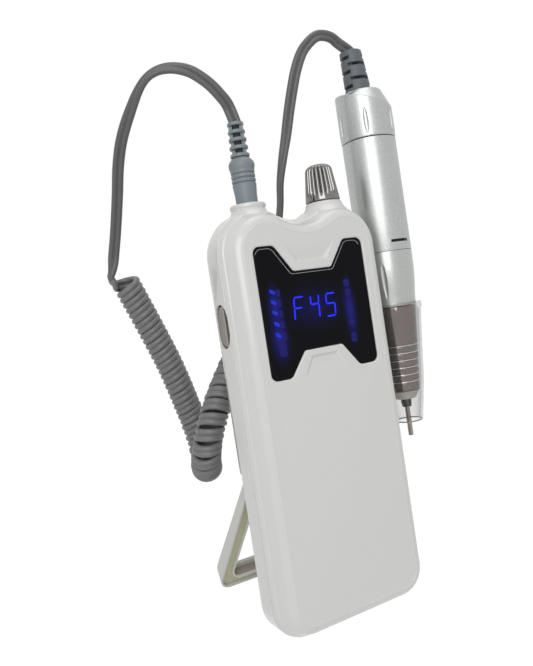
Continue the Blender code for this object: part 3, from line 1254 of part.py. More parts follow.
def make_nose(sleeve, sleeve_bore, chrome, pale):
    """Chrome nose with its ring grooves, its spigot in the sleeve and the dust ring at its tip."""
    top_radius = SLEEVE_END_RADIUS - FIT_GAP / 2
    slope = (top_radius - NOSE_TIP_RADIUS) / NOSE_LENGTH

    def radius_at(height):
        return NOSE_TIP_RADIUS + slope * height

    outer = [(radius_at(0), NOSE_TIP_Z)]
    for i in range(NOSE_GROOVES):
        base = NOSE_GROOVE_START + i * NOSE_GROOVE_PITCH
        half = NOSE_GROOVE_WIDTH / 2
        floor = radius_at(base) - NOSE_GROOVE_DEPTH
        outer += [(radius_at(base - half), NOSE_TIP_Z + base - half), (floor, NOSE_TIP_Z + base),
                  (radius_at(base + half), NOSE_TIP_Z + base + half)]
    spigot = sleeve_bore - FIT_GAP
    end = NOSE_TOP_Z + NOSE_SPIGOT_LENGTH
    lip = SPINDLE_RADIUS + 2 * FIT_GAP
    seat = NOSE_TIP_Z + BEARING_FROM_TIP - FIT_GAP
    profile = outer + [(top_radius, NOSE_TOP_Z), (spigot, NOSE_TOP_Z), (spigot, end), (NOSE_BORE, end),
                       (NOSE_BORE, seat), (lip, seat), (lip, NOSE_TIP_Z)]
    solid("nose_cone", turned(profile), chrome, sleeve)
    high = NOSE_TIP_Z - FIT_GAP
    low = high - DUST_RING_LENGTH
    ring = [(DUST_RING_TIP_RADIUS, low), (NOSE_TIP_RADIUS - FIT_GAP, high), (lip, high), (lip, low)]
    solid("dust_ring", turned(ring, 20), pale, sleeve)


def make_spindle(spindle, collet, bit, steel, dark):
    low = COLLET_END_Z + COLLET_PROUD
    high = coupling_low() - FIT_GAP
    plug = low + COLLET_LENGTH - COLLET_PROUD + COLLET_TRAVEL + FIT_GAP
    profile = [(SPINDLE_BORE, low), (SPINDLE_RADIUS, low), (SPINDLE_RADIUS, high), (0, high), (0, plug),
               (SPINDLE_BORE, plug)]
    solid("chuck_spindle", turned(profile, SMALL_SIDES), steel, spindle)
    base = coupling_low()
    top = base + COUPLING_LENGTH
    hole = MOTOR_SHAFT_RADIUS + FIT_GAP
    seat = base + COUPLING_LENGTH / 2 - FIT_GAP
    coupling = [(0, base), (COUPLING_RADIUS, base), (COUPLING_RADIUS, top), (hole, top), (hole, seat), (0, seat)]
    solid("drive_coupling", turned(coupling, SMALL_SIDES), dark, spindle)
    make_spring(spindle, steel)
    end = COLLET_END_Z
    body = [
        (COLLET_BORE, end), (COLLET_RADIUS * 0.86, end), (COLLET_RADIUS, end + COLLET_PROUD / 2),
        (COLLET_RADIUS, end + COLLET_LENGTH), (COLLET_BORE, end + COLLET_LENGTH),
    ]
    jaws = solid("collet", turned(body, SMALL_SIDES), dark, collet)
    slits = []
    for i in range(COLLET_SLITS):
        half = COLLET_SLIT_WIDTH / 2
        shape = block((0, -half, end - OVERCUT), (COLLET_RADIUS + OVERCUT, half, end + COLLET_SLIT_LENGTH))
        slits.append(spun(shape, 360 * (i + 0.25) / COLLET_SLITS))
    for i, slit in enumerate(slits):
        combine(jaws, helper(f"collet_slit_{i}", slit, collet))
    tip = end - BIT_PROUD
    chamfer = BIT_RADIUS * 0.25
    shank = [(0, tip), (BIT_RADIUS - chamfer, tip), (BIT_RADIUS, tip + chamfer), (BIT_RADIUS, tip + BIT_LENGTH),
             (0, tip + BIT_LENGTH)]
    solid("bit_shank", turned(shank, 12), steel, bit)


def make_spring(spindle, steel):
    """Collet spring round the spindle, one unbroken wire."""
    middle = (SPINDLE_RADIUS + NOSE_BORE) / 2
    base = NOSE_TIP_Z + BEARING_FROM_TIP + BEARING_WIDTH + SPRING_WIRE * 2
    count = SPRING_TURNS * 8
    points = []
    for i in range(count + 1):
        angle = 2 * pi * i / 8
        points.append((middle * cos(angle), middle * sin(angle), base + SPRING_LENGTH * i / count))
    wire("collet_spring", points, SPRING_WIRE / 2, 0, steel, spindle)


def make_guard(guard, clear):
    """Clear push-on cap: rim, lip that grips the sleeve's end, and walls that close in to the bit."""
    high = SLEEVE_END_Z + GUARD_RIM_HEIGHT / 2
    grip = sleeve_radius(high) + FIT_GAP
    under = high - GUARD_RIM_HEIGHT
    middle = NOSE_TIP_Z + GUARD_MIDDLE_ABOVE_TIP
    low = NOSE_TIP_Z - GUARD_PAST_TIP
    step = GUARD_WALL
    outer = [(GUARD_RIM_RADIUS, high), (GUARD_RIM_RADIUS, under), (GUARD_TOP_RADIUS, under - step),
             (GUARD_MIDDLE_RADIUS, middle), (GUARD_END_RADIUS, low)]
    inner = [(GUARD_END_RADIUS - step, low), (GUARD_MIDDLE_RADIUS - step, middle),
             (GUARD_TOP_RADIUS - step, under - step), (grip, under), (grip, high)]
    solid("clear_guard", turned(outer + inner), clear, guard)


def sleeve_radius(height):
    """Outer radius of the grip sleeve at a height near its lower end."""
    share = (height - SLEEVE_END_Z) / (SLEEVE_LENGTH * 0.32)
    return SLEEVE_END_RADIUS + share * (BODY_RADIUS - SLEEVE_END_RADIUS) / 2


def wire(name, points, radius, resolution, material, parent):
    """Tube with filled ends along points."""
    curve = bpy.data.curves.new(name, "CURVE")
    curve.dimensions = "3D"
    curve.bevel_depth = radius
    curve.bevel_resolution = resolution
    curve.use_fill_caps = True
    spline = curve.splines.new("POLY")
    spline.points.add(len(points) - 1)
    for target, point in zip(spline.points, points):
        target.co = (*point, 1.0)
    return place(name, curve, material, parent)


def smooth_curve(route, per_span=24):
    """Dense points on a smooth curve through the route's points."""
    points = np.array(route, float)
    before = np.vstack([2 * points[0] - points[1], points[:-1]])
    after = np.vstack([points[1:], 2 * points[-1] - points[-2]])
    slopes = (after - before) / 2
    dense = []
    for i in range(len(points) - 1):
        for k in range(per_span):
            t = k / per_span
            h00 = 2 * t**3 - 3 * t**2 + 1
            h10 = t**3 - 2 * t**2 + t
            h01 = -2 * t**3 + 3 * t**2
            h11 = t**3 - t**2
            dense.append(h00 * points[i] + h10 * slopes[i] + h01 * points[i + 1] + h11 * slopes[i + 1])
    return np.vstack([dense, points[-1:]])


def travelled(points):
    steps = np.linalg.norm(np.diff(points, axis=0), axis=1)
    return np.concatenate([[0.0], np.cumsum(steps)])


def spaced(points, spacing):
    """Points at an even spacing along a dense curve, both ends kept."""
    way = travelled(points)
    count = max(2, round(way[-1] / spacing))
    marks = np.linspace(0, way[-1], count + 1)
    return np.stack([np.interp(marks, way, points[:, k]) for k in range(3)], axis=1)


def coil_frames(axis_line):
    """Directions along the coil's middle line, with one side vector carried along without twist."""
    along = np.gradient(axis_line, axis=0)
    along /= np.linalg.norm(along, axis=1)[:, None]
    side = np.array([-1.0, 0.0, 0.0])
    sides = []
    for direction in along:
        side = side - direction * (side @ direction)
        side = side / np.linalg.norm(side)
        sides.append(side)
    sides = np.array(sides)
    return along, sides, np.cross(along, sides)


def pitch_along(line):
    """Pitch of the curls: close in the left arm, wide in the bend, between the two in the right arm."""
    rising = np.gradient(line[:, 2]) > 0
    lowest = int(np.argmin(line[:, 2]))
    height = line[:, 2] - line[lowest, 2]
    bend = np.clip(1.25 - height / (1.6 * COIL_DIAMETER), 0, 1)
    arm = np.where(rising, RISE_PITCH, COIL_PITCH)
    return arm + (BEND_PITCH - arm) * bend


def curly_points():
    """The curly cord's centre line: straight ends, then curls about the coil's middle line."""
    line = spaced(smooth_curve(COIL_ROUTE), 0.0001)
    way = travelled(line)
    along, sides, ups = coil_frames(line)
    from_end = np.minimum(way, way[-1] - way) - COIL_END
    ease = np.clip(from_end / COIL_PITCH, 0, 1)
    rate = 2 * pi / pitch_along(line) * ease**2 * (3 - 2 * ease)
    phase = np.concatenate([[0.0], np.cumsum((rate[1:] + rate[:-1]) / 2 * np.diff(way))])
    phase += pi * 2 * (round(phase[-1] / (2 * pi)) - phase[-1] / (2 * pi)) * (phase / phase[-1])
    reach = COIL_DIAMETER / 2
    curve = line + reach * (np.cos(phase)[:, None] * sides + np.sin(phase)[:, None] * ups)
    return spaced(curve, pi * COIL_DIAMETER / POINTS_PER_CURL), phase[-1] / (2 * pi)


def least_gap(points):
    """Least clear distance between the tube and another turn of itself."""
    fine = spaced(points, 0.0008)
    away = int(round(0.55 * pi * COIL_DIAMETER / 0.0008))
    least = 1.0
    for i in range(len(fine) - away):
        least = min(least, np.linalg.norm(fine[i + away:] - fine[i], axis=1).min())
    return least - 2 * CORD_RADIUS


def lead_points(start, start_way, start_straight, route, end, end_way, end_straight):
    """Points of a lead: straight at both ends, which face along the ways given, and smooth between."""
    first = start + start_way * start_straight
    last = end + end_way * end_straight
    middle = spaced(smooth_curve([first, *route, last]), LEAD_SPACING)
    return np.vstack([start, middle, end])


def make_cord(case_place, plug_exit, boot_exit, grey):
    """Lead from the plug, curly middle and lead to the handpiece, end to end with small gaps."""
    curls, turns = curly_points()
    up = (case_place.to_3x3() @ Vector((0, 0, 1))).normalized()
    start = np.array(curls[0])
    end = np.array(curls[-1])
    start_way = (curls[1] - curls[0]) / np.linalg.norm(curls[1] - curls[0])
    end_way = (curls[-1] - curls[-2]) / np.linalg.norm(curls[-1] - curls[-2])
    rise = np.array(up)
    leave = np.array(plug_exit) + rise * FIT_GAP
    arrive = np.array(boot_exit) + rise * FIT_GAP
    join = start - start_way * FIT_GAP
    part = end + end_way * FIT_GAP
    plug_points = lead_points(leave, rise, STRAIGHT_END, PLUG_LEAD_ROUTE, join, -start_way, COIL_END)
    tool_points = lead_points(part, end_way, COIL_END, TOOL_LEAD_ROUTE, arrive, rise, STRAIGHT_END)
    wire("lead_plug_side", plug_points, CORD_RADIUS, 2, grey, None)
    wire("curly_cord", curls, CORD_RADIUS, 1, grey, None)
    wire("lead_tool_side", tool_points, CORD_RADIUS, 2, grey, None)
    lengths = [travelled(points)[-1] for points in (plug_points, curls, tool_points)]
    print("cord lengths", [round(float(length), 4) for length in lengths], "curls", round(float(turns), 2))
    print("least gap of the curly cord to itself, mm", round(float(least_gap(curls)) * 1000, 3))


def main():
    clear_scene()
    white = finish("white_abs", (0.80, 0.80, 0.78), 0.28)
    glass = finish("smoked_window", (0.008, 0.008, 0.010), 0.08)
    black = finish("black_plastic", (0.02, 0.02, 0.02), 0.45)
    chrome = finish("chrome", (0.78, 0.78, 0.78), 0.08, 1.0)
    silver = finish("satin_silver", (0.62, 0.63, 0.62), 0.34, 1.0)
    steel = finish("steel", (0.50, 0.48, 0.45), 0.30, 1.0)
    nickel = finish("nickel", (0.66, 0.64, 0.60), 0.22, 1.0)
    dark = finish("dark_rubber", (0.10, 0.11, 0.12), 0.60)
    grey = finish("grey_pvc", (0.20, 0.21, 0.22), 0.48)
    plug_grey = finish("blue_grey_pvc", (0.24, 0.28, 0.30), 0.45)
    green = finish("circuit_board", (0.03, 0.18, 0.08), 0.45)
    wrap = finish("cell_wrap", (0.08, 0.20, 0.42), 0.35)
    pale = finish("pale_acetal", (0.72, 0.70, 0.64), 0.40)
    copper = finish("copper_winding", (0.55, 0.28, 0.14), 0.40, 0.8)
    clear = finish("clear_plastic", (0.86, 0.88, 0.88), 0.06, 0.0, 0.35)

    heel = Matrix.Rotation(radians(-LEAN_ANGLE), 4, "X") @ Vector((0, HEEL_Y, HEEL_Z))
    case = empty("case_frame", None, -heel, (radians(-LEAN_ANGLE), 0, 0))
    make_front_cover(case, white)
    make_rear_cover(case, white)
    make_cover_screws(case, steel)
    make_display(case, glass, black)
    make_board(case, green, black)
    make_battery(case, wrap, black)
    make_port(case, nickel)
    make_socket(case, white, nickel)
    make_plug(case, plug_grey, nickel)
    make_speed_control(case, white, steel, chrome)
    make_button(case, chrome)
    make_stand(case, white, steel)
    make_holder(case, white, steel)

    hand = empty("handpiece_frame", case, (HANDPIECE_X, HANDPIECE_DEPTH_Y, 0))
    sleeve = empty("sleeve_frame", hand)
    spindle = empty("spindle_frame", hand)
    collet = empty("collet_frame", spindle)
    bit = empty("bit_frame", collet)
    guard = empty("guard_frame", sleeve)
    make_rear_cap(hand, silver, dark)
    make_body(hand, silver)
    make_motor(hand, spindle, nickel, black, copper)
    make_sleeve(sleeve, silver, chrome, pale, steel)
    make_spindle(spindle, collet, bit, steel, dark)
    make_guard(guard, clear)

    case_place = Matrix.Translation(-heel) @ Matrix.Rotation(radians(-LEAN_ANGLE), 4, "X")
    plug_top = COLLAR_TOP_Z + FIT_GAP + PLUG_BODY_LENGTH + PLUG_BULGE_LENGTH + PLUG_RELIEF_LENGTH
    plug_exit = case_place @ Vector((-HUMP_X, TOP_MIDDLE_DEPTH, plug_top))
    boot_exit = case_place @ Vector((HANDPIECE_X, HANDPIECE_DEPTH_Y, REAR_CAP_TOP_Z + BOOT_LENGTH))
    make_cord(case_place, plug_exit, boot_exit, grey)


main()
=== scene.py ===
"""Scene of a portable electric nail drill: control box on its stand, curly cord and handpiece.

Lengths are in metres and angles in degrees. Case coordinates are x to the right, y from the
front face to the back and z up the case; ControlBox.place carries them into the row frame.
"""

import logging
from dataclasses import dataclass
from enum import Enum
from math import acos, atan2, cos, degrees, pi, radians, sin, tan
from typing import Any, Iterable, Sequence, Union

import bmesh
import bpy
import numpy as np
from mathutils import Matrix, Vector


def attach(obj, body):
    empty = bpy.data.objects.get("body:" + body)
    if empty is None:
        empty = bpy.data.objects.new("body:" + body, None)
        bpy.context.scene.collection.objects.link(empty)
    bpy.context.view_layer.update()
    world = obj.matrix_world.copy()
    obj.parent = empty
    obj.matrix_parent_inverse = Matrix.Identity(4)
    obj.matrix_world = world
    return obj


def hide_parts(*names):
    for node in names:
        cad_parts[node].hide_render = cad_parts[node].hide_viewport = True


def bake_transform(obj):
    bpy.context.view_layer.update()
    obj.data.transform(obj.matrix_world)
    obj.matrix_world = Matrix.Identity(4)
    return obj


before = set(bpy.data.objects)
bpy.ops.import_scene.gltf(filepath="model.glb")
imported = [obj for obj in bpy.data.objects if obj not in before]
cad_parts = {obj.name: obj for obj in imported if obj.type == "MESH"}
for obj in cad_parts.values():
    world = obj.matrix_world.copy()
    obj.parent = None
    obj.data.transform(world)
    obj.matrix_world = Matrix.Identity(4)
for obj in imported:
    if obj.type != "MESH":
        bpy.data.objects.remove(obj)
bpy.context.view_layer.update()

Flat = tuple[float, float]
Point = tuple[float, float, float]
Ring = list[Point]
Value = Union["Sock", float, Sequence[float]]

log = logging.getLogger("nail_drill")

LEAN = 14.0
SIDEWAYS = (0.868, -0.495, -0.032)
GAP = 0.0003
OVERCUT = 0.002


class Body(str, Enum):
    """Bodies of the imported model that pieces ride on."""

    BOX = "box"
    STAND = "stand"
    KNOB = "knob"
    BUTTON = "button"
    PLUG = "plug"
    HANDPIECE = "handpiece"
    SLEEVE = "sleeve"
    COLLET = "collet"
    BIT = "bit"
    GUARD = "guard"


class Axis(Enum):
    """Axis along which a prism is pushed; the value is the order of its coordinates."""

    X = (2, 0, 1)
    Y = (0, 2, 1)
    Z = (0, 1, 2)


class Sock:
    """Output of a shader node that takes part in sums."""

    def __init__(self, graph: "Graph", socket: Any) -> None:
        """Keeps the graph and the socket."""
        self.graph = graph
        self.socket = socket

    def math(self, operation: str, first: Value, second: Value = 0.0) -> "Sock":
        """Math node of an operation on two values."""
        return self.graph.node("ShaderNodeMath", {"operation": operation}, {0: first, 1: second})

    def __add__(self, other: Value) -> "Sock":
        """Sum."""
        return self.math("ADD", self, other)

    def __radd__(self, other: Value) -> "Sock":
        """Sum with the value first."""
        return self.math("ADD", other, self)

    def __sub__(self, other: Value) -> "Sock":
        """Difference."""
        return self.math("SUBTRACT", self, other)

    def __rsub__(self, other: Value) -> "Sock":
        """Difference with the value first."""
        return self.math("SUBTRACT", other, self)

    def __mul__(self, other: Value) -> "Sock":
        """Product."""
        return self.math("MULTIPLY", self, other)

    def __rmul__(self, other: Value) -> "Sock":
        """Product with the value first."""
        return self.math("MULTIPLY", other, self)

    def __pow__(self, other: Value) -> "Sock":
        """Power."""
        return self.math("POWER", self, other)

    def __rpow__(self, other: Value) -> "Sock":
        """Power with the value first."""
        return self.math("POWER", other, self)

    def clamped(self) -> "Sock":
        """Value held between 0 and 1."""
        return self.graph.node("ShaderNodeClamp", {}, {0: self})


class Graph:
    """Node tree of a material or world."""

    def __init__(self, tree: bpy.types.NodeTree) -> None:
        """Empties the tree."""
        self.tree = tree
        tree.nodes.clear()

    def node(
        self,
        kind: str,
        settings: dict[str, Any] | None = None,
        values: dict[Any, Value] | None = None,
        out: int | str = 0,
    ) -> Sock:
        """Adds one node.

        Args:
            kind: Blender's name of the node type.
            settings: Attributes of the node.
            values: Numbers for its inputs, or outputs linked into them.
            out: Output that is handed back.

        Returns:
            The chosen output.
        """
        made = self.tree.nodes.new(kind)
        for name, setting in (settings or {}).items():
            setattr(made, name, setting)
        for key, value in (values or {}).items():
            if isinstance(value, Sock):
                self.tree.links.new(value.socket, made.inputs[key])
                continue
            made.inputs[key].default_value = value
        return Sock(self, made.outputs[out] if made.outputs else None)

    def mix(self, first: Value, second: Value, share: Value) -> Sock:
        """Colour between two colours."""
        return self.node("ShaderNodeMix", {"data_type": "RGBA"}, {0: share, 6: first, 7: second}, 2)

    def place(self) -> Sock:
        """Object coordinates."""
        return self.node("ShaderNodeTexCoord", out="Object")

    def noise(self, scale: float, detail: float = 2.0, stretch: Point = (1, 1, 1)) -> Sock:
        """Noise from object coordinates, stretched by a factor on each axis."""
        scaled = self.node("ShaderNodeVectorMath", {"operation": "MULTIPLY"}, {0: self.place(), 1: stretch})
        return self.node("ShaderNodeTexNoise", {}, {"Vector": scaled, "Scale": scale, "Detail": detail})

    def bump(self, height: Sock, strength: float, distance: float) -> Sock:
        """Normal bent by a height."""
        return self.node("ShaderNodeBump", {}, {"Strength": strength, "Distance": distance, "Height": height})

    def facing(self, blend: float) -> Sock:
        """How far a surface turns away from the ray."""
        return self.node("ShaderNodeLayerWeight", {}, {"Blend": blend}, "Facing")

    def shade(self, values: dict[Any, Value]) -> None:
        """Ends the tree with a principled shader."""
        shader = self.node("ShaderNodeBsdfPrincipled", {}, values)
        self.node("ShaderNodeOutputMaterial", {}, {"Surface": shader})


def rgba(colour: Point, factor: float = 1.0) -> tuple[float, float, float, float]:
    """Colour scaled by a factor, with full alpha."""
    return (colour[0] * factor, colour[1] * factor, colour[2] * factor, 1.0)


@dataclass(frozen=True)
class Finish:
    """Surface of one kind of material; kinds override paint."""

    name: str
    slot: str
    colour: Point
    roughness: float

    def paint(self, graph: Graph) -> None:
        """Fills the node tree."""
        graph.shade({"Base Color": rgba(self.colour), "Roughness": self.roughness})

    def material(self) -> bpy.types.Material:
        """Material of this finish, made once.

        Returns:
            The material.
        """
        found = bpy.data.materials.get(self.name)
        if found is not None:
            return found
        made = bpy.data.materials.new(self.name)
        made.use_nodes = True
        self.paint(Graph(made.node_tree))
        made.diffuse_color = rgba(self.colour)
        return made


@dataclass(frozen=True)
class Plastic(Finish):
    """Moulded plastic or rubber with faint unevenness of colour, gloss and skin."""

    mottle: float = 0.03
    coat: float = 0.0
    skin: float = 0.02
    skin_scale: float = 900.0

    def paint(self, graph: Graph) -> None:
        """Fills the node tree.

        Args:
            graph: Node tree that is filled.
        """
        broad = graph.noise(38.0, 3.0)
        fine = graph.noise(self.skin_scale, 2.0)
        colour = graph.mix(rgba(self.colour, 1 - self.mottle), rgba(self.colour, 1 + self.mottle), broad)
        gloss = self.roughness * 0.9 + broad * (self.roughness * 0.2)
        graph.shade({
            "Base Color": colour, "Roughness": gloss, "Normal": graph.bump(fine, self.skin, 0.00005),
            "Coat Weight": self.coat, "Coat Roughness": 0.08,
        })


@dataclass(frozen=True)
class Metal(Finish):
    """Plain or plated metal, with a share of sparkling flakes and faint handling marks."""

    flakes: float = 0.0
    flake_scale: float = 2600.0
    marks: float = 0.05
    metallic: float = 1.0
    coat: float = 0.0

    def paint(self, graph: Graph) -> None:
        """Fills the node tree.

        Args:
            graph: Node tree that is filled.
        """
        broad = graph.noise(60.0, 3.0)
        fine = graph.noise(self.flake_scale, 1.0)
        grain = (fine - 0.5) * self.flakes + 0.5
        colour = graph.mix(rgba(self.colour, 0.72), rgba(self.colour, 1.28), grain)
        gloss = self.roughness + (broad - 0.5) * self.marks
        graph.shade({
            "Base Color": colour, "Roughness": gloss, "Metallic": self.metallic,
            "Normal": graph.bump(fine, self.flakes * 0.25, 0.00006),
            "Coat Weight": self.coat, "Coat Roughness": 0.1,
        })


@dataclass(frozen=True)
class Clear(Finish):
    """Thin clear plastic: faint where it faces the ray, grey and bright along its edges, a sheen painted by the facing
    weight.
    """

    body: float = 0.09
    edge: float = 0.65
    depth: float = 0.15

    def paint(self, graph: Graph) -> None:
        """Fills the node tree.

        Args:
            graph: Node tree that is filled.
        """
        # Facing weight paints the edge sheen into colour and opacity.
        rim = graph.facing(0.4) ** 1.5
        alpha = self.body + rim * (self.edge - self.body)
        colour = graph.mix(rgba(self.colour, self.depth), rgba(self.colour), rim)
        graph.shade({
            "Base Color": colour, "Roughness": self.roughness, "Alpha": alpha,
            "Coat Weight": 0.4, "Coat Roughness": 0.04,
        })


@dataclass(frozen=True)
class Glow(Finish):
    """Lit segment of the display."""

    strength: float = 1.0

    def paint(self, graph: Graph) -> None:
        """Fills the node tree.

        Args:
            graph: Node tree that is filled.
        """
        flicker = graph.noise(1400.0, 2.0)
        colour = graph.mix(rgba(self.colour, 0.75), rgba(self.colour, 1.15), flicker)
        graph.shade({
            "Base Color": rgba((0.01, 0.01, 0.03)), "Roughness": self.roughness,
            "Emission Color": colour, "Emission Strength": self.strength, "Specular IOR Level": 0.05,
        })


@dataclass(frozen=True)
class SmokedWindow(Finish):
    """Black window with a dim halo of blue light round the lit places."""

    halo: Point = (0.012, 0.012, 0.22)
    spots: tuple[tuple[Point, Point, float], ...] = ()

    def paint(self, graph: Graph) -> None:
        """Fills the node tree.

        Args:
            graph: Node tree that is filled.
        """
        total: Value = 0.0
        for centre, reach, weight in self.spots:
            away = graph.node("ShaderNodeVectorMath", {"operation": "SUBTRACT"}, {0: graph.place(), 1: centre})
            scaled = graph.node("ShaderNodeVectorMath", {"operation": "DIVIDE"}, {0: away, 1: reach})
            length = graph.node("ShaderNodeVectorMath", {"operation": "LENGTH"}, {0: scaled}, "Value")
            near = (1.0 - length).clamped() ** 2.0 * weight
            total = near + total
        colour = graph.mix((0, 0, 0, 1), rgba(self.halo), total)
        graph.shade({
            "Base Color": rgba(self.colour), "Roughness": self.roughness,
            "Emission Color": colour, "Emission Strength": 1.0, "Specular IOR Level": 0.05,
        })


WHITE = Plastic("white_shell", "white_abs", (0.73, 0.735, 0.71), 0.24, mottle=0.012, coat=0.25)
STAND_WHITE = Plastic("stand_plastic", "white_abs", (0.66, 0.665, 0.62), 0.34, mottle=0.02)
# Darker olive beige of the same white plastic: painted shade on the stand's front faces.
STAND_RECESS_SHADE = Plastic("stand_recess_shade", "white_abs", (0.54, 0.525, 0.36), 0.42, mottle=0.10)
# Brown of the same white plastic: painted shade on the top of the stand's foot bar.
STAND_BAR_SHADE = Plastic("bar_recess", "white_abs", (0.34, 0.30, 0.235), 0.45, mottle=0.06)
BLACK = Plastic("black_moulding", "black_plastic", (0.018, 0.018, 0.020), 0.45)
GREY_CORD = Plastic("grey_cord", "grey_pvc", (0.185, 0.185, 0.185), 0.42, mottle=0.05, skin=0.08)
# Same grey cord as the curls, darker on the straight leads as painted shade.
LEAD_SHADED_GREY = Plastic("lead_shaded_grey", "grey_pvc", (0.115, 0.115, 0.115), 0.42, mottle=0.05, skin=0.08)
PLUG_GREY = Plastic("plug_rubber", "blue_grey_pvc", (0.215, 0.255, 0.275), 0.46, mottle=0.05, skin=0.1)
BOOT_GREY = Plastic("boot_rubber", "dark_rubber", (0.115, 0.13, 0.145), 0.5, mottle=0.06, skin=0.1)
PALE_RING = Plastic("pale_ring", "pale_acetal", (0.62, 0.60, 0.54), 0.4)
BOARD_GREEN = Plastic("board", "circuit_board", (0.025, 0.15, 0.06), 0.45)
CELL_WRAP = Plastic("cell_wrap", "cell", (0.06, 0.17, 0.38), 0.35)
# Black put into gaps, slots and hollows as painted shade.
PAINTED_SHADE_BLACK = Plastic("painted_shade_black", "black_plastic", (0.012, 0.012, 0.012), 0.7)
# Light grey line on the window's upper edges: painted highlight.
PAN_EDGE_HIGHLIGHT = Plastic("window_edge_highlight", "smoked_window", (0.42, 0.43, 0.45), 0.2)
# Bright copy of the chrome: painted highlights in the nose's ring grooves.
RING_HIGHLIGHT_CHROME = Metal("ring_highlight_plate", "chrome", (0.85, 0.84, 0.82), 0.12, marks=0.02)
CHROME = Metal("chrome_plate", "chrome", (0.24, 0.205, 0.195), 0.05, marks=0.02)
KNOB_CHROME = Metal("knob_plate", "plated_plastic", (0.20, 0.195, 0.19), 0.06, marks=0.02)
MIRROR = Metal("dark_mirror", "plated_plastic", (0.24, 0.215, 0.20), 0.14, marks=0.05)
SILVER = Metal("sparkle_silver", "satin_silver", (0.45, 0.465, 0.455), 0.37, flakes=0.8, flake_scale=1700.0,
               metallic=0.9)
SLEEVE_SILVER = Metal("sleeve_silver", "satin_silver", (0.45, 0.46, 0.45), 0.32, flakes=0.5, flake_scale=1900.0,
                      metallic=0.9)
STEEL = Metal("bright_steel", "steel", (0.50, 0.49, 0.47), 0.3, marks=0.15)
NICKEL = Metal("nickel_plate", "nickel", (0.64, 0.61, 0.56), 0.22)
COLLET_STEEL = Metal("collet_steel", "tool_steel", (0.10, 0.098, 0.095), 0.3, marks=0.1)
BIT_STEEL = Metal("bit_steel", "tool_steel", (0.30, 0.26, 0.225), 0.28, marks=0.1)
COPPER = Metal("copper_winding", "copper", (0.60, 0.29, 0.15), 0.38)
# Grey for the clear guard's lip: painted edge shade of clear plastic.
GUARD_LIP_SHADE_GREY = Plastic("guard_lip_painted_shade", "clear_plastic", (0.30, 0.31, 0.31), 0.2)
CLEAR = Clear("clear_guard_plastic", "clear_plastic", (0.58, 0.60, 0.59), 0.07)
DIGIT_GLOW = Glow("digit_glow", "smoked_window", (0.016, 0.026, 1.0), 0.3, strength=1.25)
BAR_GLOW = Glow("bar_glow", "smoked_window", (0.012, 0.03, 0.62), 0.4, strength=1.0)
DIM_GLOW = Glow("dim_glow", "smoked_window", (0.010, 0.010, 0.16), 0.4, strength=0.7)


class Outline:
    """Plane figures as lists of points."""

    @staticmethod
    def arc(x: float, y: float, radius: float, start: float, end: float, steps: int) -> list[Flat]:
        """Points along an arc, both ends included."""
        angles = (radians(start + (end - start) * i / steps) for i in range(steps + 1))
        return [(x + radius * cos(a), y + radius * sin(a)) for a in angles]

    @staticmethod
    def circle(radius: float, sides: int) -> list[Flat]:
        """Regular polygon."""
        return Outline.arc(0, 0, radius, 0, 360 * (sides - 1) / sides, sides - 1)

    @staticmethod
    def capsule(length: float, width: float, steps: int = 16) -> list[Flat]:
        """Figure with round ends, long along its second axis.

        Args:
            length: Whole length.
            width: Whole width.
            steps: Steps in each curve.

        Returns:
            Points of the figure.
        """
        half = (length - width) / 2
        top = Outline.arc(0, half, width / 2, 0, 180, steps)
        return top + Outline.arc(0, -half, width / 2, 180, 360, steps)

    @staticmethod
    def rounded(corners: Sequence[Flat], radii: Sequence[float], steps: int = 10) -> list[Flat]:
        """Polygon with each corner turned into an arc of its radius.

        Args:
            corners: Corners of the polygon.
            radii: Radius at each corner.
            steps: Steps in each curve.

        Returns:
            Points of the figure.
        """
        points = []
        count = len(corners)
        for i, corner in enumerate(corners):
            here = Vector(corner)
            before = (Vector(corners[i - 1]) - here).normalized()
            after = (Vector(corners[(i + 1) % count]) - here).normalized()
            half = before.angle(after) / 2
            reach = radii[i] / tan(half)
            middle = here + (before + after).normalized() * radii[i] / sin(half)
            first = here + before * reach - middle
            last = here + after * reach - middle
            sweep = first.angle_signed(last)
            for k in range(steps + 1):
                points.append(tuple(middle + Matrix.Rotation(-sweep * k / steps, 2) @ first))
        return points

    @staticmethod
    def softened(points: Sequence[Flat], radius: float, steps: int = 3) -> list[Flat]:
        """Closed figure with every corner off the axis eased by a short curve.

        Args:
            points: Points of the figure.
            radius: Length eased on each side of a corner.
            steps: Steps in each curve.

        Returns:
            Points of the eased figure.
        """
        eased: list[Flat] = []
        count = len(points)
        for i, corner in enumerate(points):
            here = Vector(corner)
            before = Vector(points[i - 1]) - here
            after = Vector(points[(i + 1) % count]) - here
            flat = before.length < 1e-9 or after.length < 1e-9
            if corner[0] == 0 or flat or before.angle(after) > radians(174):
                eased.append(corner)
                continue
            first = here + before.normalized() * min(radius, before.length * 0.45)
            last = here + after.normalized() * min(radius, after.length * 0.45)
            for k in range(steps + 1):
                t = k / steps
                eased.append(tuple(first * (1 - t) ** 2 + here * 2 * t * (1 - t) + last * t**2))
        return eased

    @staticmethod
    def flowing(points: Sequence[Flat], per_span: int = 8) -> list[Flat]:
        """Smooth open line through points."""
        spaced = Route.smooth([(x, y, 0.0) for x, y in points], per_span)
        return [(float(x), float(y)) for x, y, _ in spaced]


